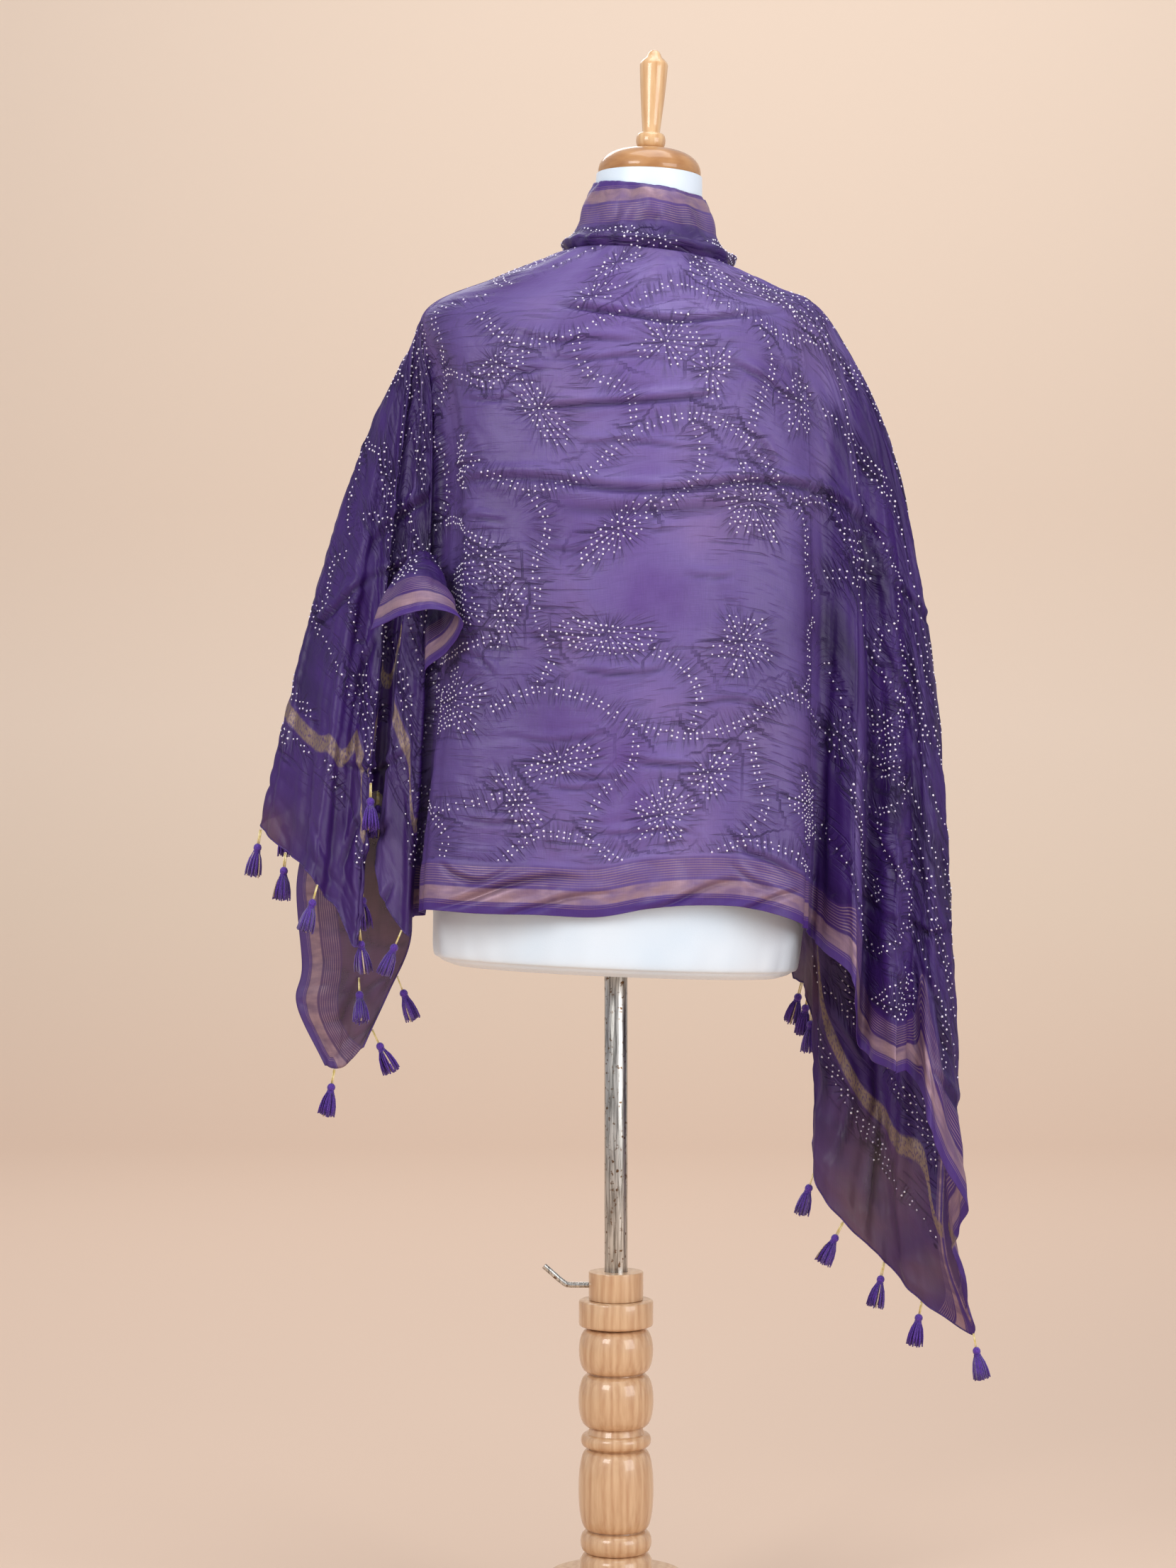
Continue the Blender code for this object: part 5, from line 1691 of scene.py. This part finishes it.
pillar_profile = [
    (0, 0.073),
    (BORE, 0.073),
    (BORE, PLATE_TOP),
    (0.0345, PLATE_TOP),
    (0.0357, PLATE_TOP - 0.0006),
    (0.0362, PLATE_TOP - 0.002),
    (0.0362, PLATE_TOP - 0.022),
    (0.0357, PLATE_TOP - 0.0242),
    (0.0345, PLATE_TOP - 0.025),
    *swelling(0.0362, 0.0245, 0.282, 0.0215),
    *swelling(0.0366, 0.0250, 0.2335, 0.0255),
    (0.0265, 0.2050),
    *swelling(0.0342, 0.0280, 0.1950, 0.0065, 8),
    *swelling(0.0366, 0.0262, 0.1470, 0.0390, 16),
    *swelling(0.0347, 0.0265, 0.0965, 0.0105, 8),
    (0.0315, 0.0845),
    (0.0348, 0.0790),
    (0.0350, HUB_TOP + PIECE_GAP),
    (0, HUB_TOP + PIECE_GAP),
]
hard_piece("pillar", turned(pillar_profile, 64), HONEY_WOOD, "stand", "stand_pillar")
print("outline points:", len(base_profile), len(hub_profile), len(pillar_profile))

# %% [markdown]
# ## Cap and finial
# The neck is closed by a turned cap of darker wood, and a slim finial stands on it to lift the form by.
# Both lean with the torso.

# %% Cap and finial
cap_foot = TORSO[-1][0] + PIECE_GAP
cap_profile = [
    (radius, cap_foot + height) for radius, height in (
        (0, 0.0262),
        (0.016, 0.0258),
        (0.024, 0.0249),
        (0.030, 0.0236),
        (0.036, 0.0216),
        (0.041, 0.0190),
        (0.0447, 0.0160),
        (0.0475, 0.0125),
        (0.0492, 0.0088),
        (0.0500, 0.0050),
        (0.0500, 0.0008),
        (0.0494, 0),
        (0, 0),
    )
]
hard_piece("cap", turned(cap_profile, 64), CAP_WOOD, "form", "form_cap", LEAN)
finial_foot = cap_foot + 0.0262 + PIECE_GAP
finial_profile = [
    (radius, finial_foot + height) for radius, height in (
        (0, 0.0965),
        (0.0036, 0.0955),
        (0.0052, 0.0940),
        (0.0062, 0.0925),
        (0.0070, 0.0905),
        (0.0082, 0.0885),
        (0.0108, 0.0865),
        (0.0132, 0.0835),
        (0.0138, 0.0815),
        (0.0135, 0.0760),
        (0.0125, 0.0600),
        (0.0112, 0.0440),
        (0.0098, 0.0290),
        (0.0086, 0.0165),
        *swelling(0.0144, 0.0092, 0.0078, 0.0074),
        (0.0090, 0),
        (0, 0),
    )
]
hard_piece("finial", turned(finial_profile, 40), PALE_WOOD, "form", "form_finial", LEAN)

# %% [markdown]
# ## Steel and the pole
# Pole and screw are plated steel tube and rod, worn and spotted where hands and the clamp have rubbed them.
# The pole slides in the pillar, and its lower end stays inside at every height.

# %% Pole
FORM_POLE_TOP = FORM_BOTTOM_Z - 0.0008
POLE_FOOT_Z = 0.230


def chrome_material():
    """Plated steel with long fine scratches and brown rust flecks."""
    made, tree, shader = new_material("worn chromed steel tube", {"Metallic": 1.0})
    place = node(tree, "TexCoord", output="Object")
    long_way = node(tree, "Mapping", {"Vector": place, "Scale": (1.0, 1.0, 0.05)})
    scratches = node(tree, "TexNoise", {"Vector": long_way, "Scale": 700.0, "Detail": 2.0})
    flecks = node(tree, "TexNoise", {"Vector": place, "Scale": 240.0, "Detail": 4.0})
    spotted = node(tree, "ValToRGB", {0: flecks}, stops=((0.60, 0.0), (0.68, 1.0)))
    metal = node(tree, "ValToRGB", {0: scratches}, stops=((0.35, "#8F8C86"), (0.60, "#D9D6CF")))
    uneven = node(tree, "Math", {0: scratches, 1: 0.18}, **TIMES)
    paint(shader, {
        "Base Color": node(tree, "Mix", {0: spotted, 6: metal, 7: linear("#6E5138")}, 2, **COLOURS),
        "Roughness": node(tree, "Math", {0: 0.20, 1: uneven}, **PLUS),
    })
    return made


# Nickel and chrome on drawn tube: bright, with reflections drawn out along the tube by scratches, which are
# drawn 1.4 mm wide, coarser than real ones, and rust flecks of 2 to 4 mm
CHROME = chrome_material()
pole_profile = rounded([
    (0, FORM_POLE_TOP),
    (POLE_RADIUS, FORM_POLE_TOP),
    (POLE_RADIUS, POLE_FOOT_Z),
    (0, POLE_FOOT_Z),
], 0.0006, 2)
hard_piece("pole", turned(pole_profile, 48), CHROME, "form", "form_pole")

# %% [markdown]
# ## Clamp block and clamp screw
# The screw goes through a wooden block on the pillar and presses on the pole. The block is bored for both:
# the pole's bore is part of its outline, and the screw's hole is cut with a Boolean, which is carried out
# at once.

# %% Clamp
SCREW_RADIUS = 0.0028
SCREW_Z = 0.3455
BLOCK_HEIGHT = 0.0275
BLOCK_RADIUS = 0.0266

block_foot = PLATE_TOP + PIECE_GAP
block_profile = rounded([
    (BORE, block_foot + BLOCK_HEIGHT),
    (BLOCK_RADIUS, block_foot + BLOCK_HEIGHT),
    (BLOCK_RADIUS, block_foot),
    (BORE, block_foot),
    (BORE, block_foot + BLOCK_HEIGHT),
], 0.0012, 3)
block = hard_piece("clamp_block", turned(block_profile, 64), HONEY_WOOD, "stand", "stand_block")
drill_radius = SCREW_RADIUS + PIECE_GAP
drill = bmesh.new()
bmesh.ops.create_cone(
    drill, cap_ends=True, segments=24, radius1=drill_radius, radius2=drill_radius, depth=0.030
)
quarter = Matrix.Translation((-0.020, 0, SCREW_Z)) @ Matrix.Rotation(math.radians(90), 4, "Y")
bmesh.ops.transform(drill, matrix=quarter, verts=drill.verts)
drill_object = bpy.data.objects.new("drill", mesh_from("drill", drill))
SCENE.collection.objects.link(drill_object)
hole = block.modifiers.new("screw hole", "BOOLEAN")
hole.operation = "DIFFERENCE"
hole.object = drill_object
bored = mesh_of(block)
block.modifiers.clear()
block.data = bored
bpy.data.objects.remove(drill_object)

# The screw's middle as (x, height over its axis): straight through the block, then bent up into a handle
screw_line = (
    (-POLE_RADIUS - PIECE_GAP, 0),
    (-0.036, 0),
    (-0.044, 0),
    (-0.0475, 0.0004),
    (-0.050, 0.0015),
    (-0.056, 0.0062),
    (-0.064, 0.0133),
    (-0.070, 0.0185),
)
screw_path = [(x, 0, rise + SCREW_Z) for x, rise in screw_line]
screw = bmesh.new()
screw.from_mesh(rod_mesh("clamp_screw", screw_path, SCREW_RADIUS, 5))
bmesh.ops.remove_doubles(screw, verts=screw.verts, dist=ONE_POINT)
hard_piece("clamp_screw", screw, CHROME, "crank", "crank_screw")
print("block faces after boring:", len(block.data.polygons))

# %% [markdown]
# ## Stage
# The object stands on a wide pale floor that curves up into a backdrop of paper. The curve begins well
# behind the object, so that a camera can go round to the other side and still see it. The paper is painted a
# little darker low down, as painted shade where the cove turns away from the lights.

# %% Stage
FLOOR_FRONT = -5.6
FLOOR_Z = -0.0005
COVE_START = 4.3
COVE_RADIUS = 1.6
COVE_STEPS = 24
BACKDROP_TOP = 3.8
STAGE_HALF_WIDTH = 5.4

# Matt coloured paper from a roll: no highlight at all, only slow changes of tone, painted shade that darkens
# it low down
PAPER, paper_tree, paper_shader = new_material("warm matt paper", {"Roughness": 0.9})
paper_place = node(paper_tree, "TexCoord", output="Object")
paper_height = node(paper_tree, "SeparateXYZ", {"Vector": paper_place}, "Z")
# Painted shade: darker low down, paler up the wall
paper_painted_shade = ((0.0, "#DDC2AC"), (0.5, "#E4CEB8"), (1.1, "#EAD6C2"))
paint(paper_shader, {"Base Color": node(paper_tree, "ValToRGB", {0: paper_height}, stops=paper_painted_shade)})


def backdrop_mesh():
    """A side outline of floor, cove and wall, drawn out to the stage's width."""
    bm = bmesh.new()
    outline = [(FLOOR_FRONT, FLOOR_Z), (COVE_START, FLOOR_Z)]
    for step in range(1, COVE_STEPS + 1):
        angle = math.pi / 2 * step / COVE_STEPS
        rise = COVE_RADIUS * (1 - math.cos(angle))
        outline.append((COVE_START + COVE_RADIUS * math.sin(angle), FLOOR_Z + rise))
    outline.append((COVE_START + COVE_RADIUS, BACKDROP_TOP))
    line = [bm.verts.new((-STAGE_HALF_WIDTH, y, z)) for y, z in outline]
    edges = [bm.edges.new(pair) for pair in zip(line, line[1:])]
    wide = bmesh.ops.extrude_edge_only(bm, edges=edges)["geom"]
    moved = [part for part in wide if isinstance(part, bmesh.types.BMVert)]
    bmesh.ops.translate(bm, verts=moved, vec=(2 * STAGE_HALF_WIDTH, 0, 0))
    mesh = mesh_from("backdrop", bm)
    mesh.shade_smooth()
    mesh.materials.append(PAPER)
    return mesh


backdrop = bpy.data.objects.new("backdrop", backdrop_mesh())
SCENE.collection.objects.link(backdrop)
print("stage:", 2 * STAGE_HALF_WIDTH, "m wide,", round(COVE_START + COVE_RADIUS - FLOOR_FRONT, 1), "m deep")

# %% [markdown]
# ## Light
# Two large soft lights on the camera's side give the even light of the photograph, and a third from above
# lifts the shoulders. One behind the object lights its far side, one the backdrop alone, and the pale sky
# of the world fills what they leave.

# %% Lights
# Name, place, what it points at, size, power and colour
LIGHTS = (
    ("key", (-1.7, -2.4, 2.1), (0, 0, 0.9), (1.3, 1.3), 42, (1.0, 1.0, 0.98)),
    ("fill", (2.2, -2.2, 1.4), (0, 0, 0.8), (1.8, 1.8), 42, (0.96, 0.98, 1.0)),
    ("top", (0.2, -0.3, 3.1), (0, 0, 1.0), (1.6, 1.6), 22, (1.0, 1.0, 1.0)),
    ("far side", (-0.8, 3.3, 3.5), (0, 0, 0.9), (2.2, 1.2), 26, (0.98, 0.99, 1.0)),
    ("backdrop light", (0.5, 3.0, 4.2), (0.3, 5.8, 1.2), (4.2, 1.2), 70, (1.0, 1.0, 1.0)),
)
for name, place, target, size, power, colour in LIGHTS:
    light = bpy.data.lights.new(name, "AREA")
    light.shape = "RECTANGLE"
    light.size, light.size_y = size
    light.energy = power
    light.color = colour
    made = bpy.data.objects.new(name, light)
    made.location = place
    made.rotation_euler = (Vector(target) - Vector(place)).to_track_quat("-Z", "Y").to_euler()
    SCENE.collection.objects.link(made)
world = bpy.data.worlds.new("room")
SCENE.world = world
world.use_nodes = True
sky = world.node_tree.nodes["Background"].inputs
sky["Color"].default_value = linear("#F4F6FF")
sky["Strength"].default_value = 0.55
SCENE.view_settings.view_transform = "Standard"
print("lights:", len(LIGHTS), "power:", sum(row[4] for row in LIGHTS), "W")
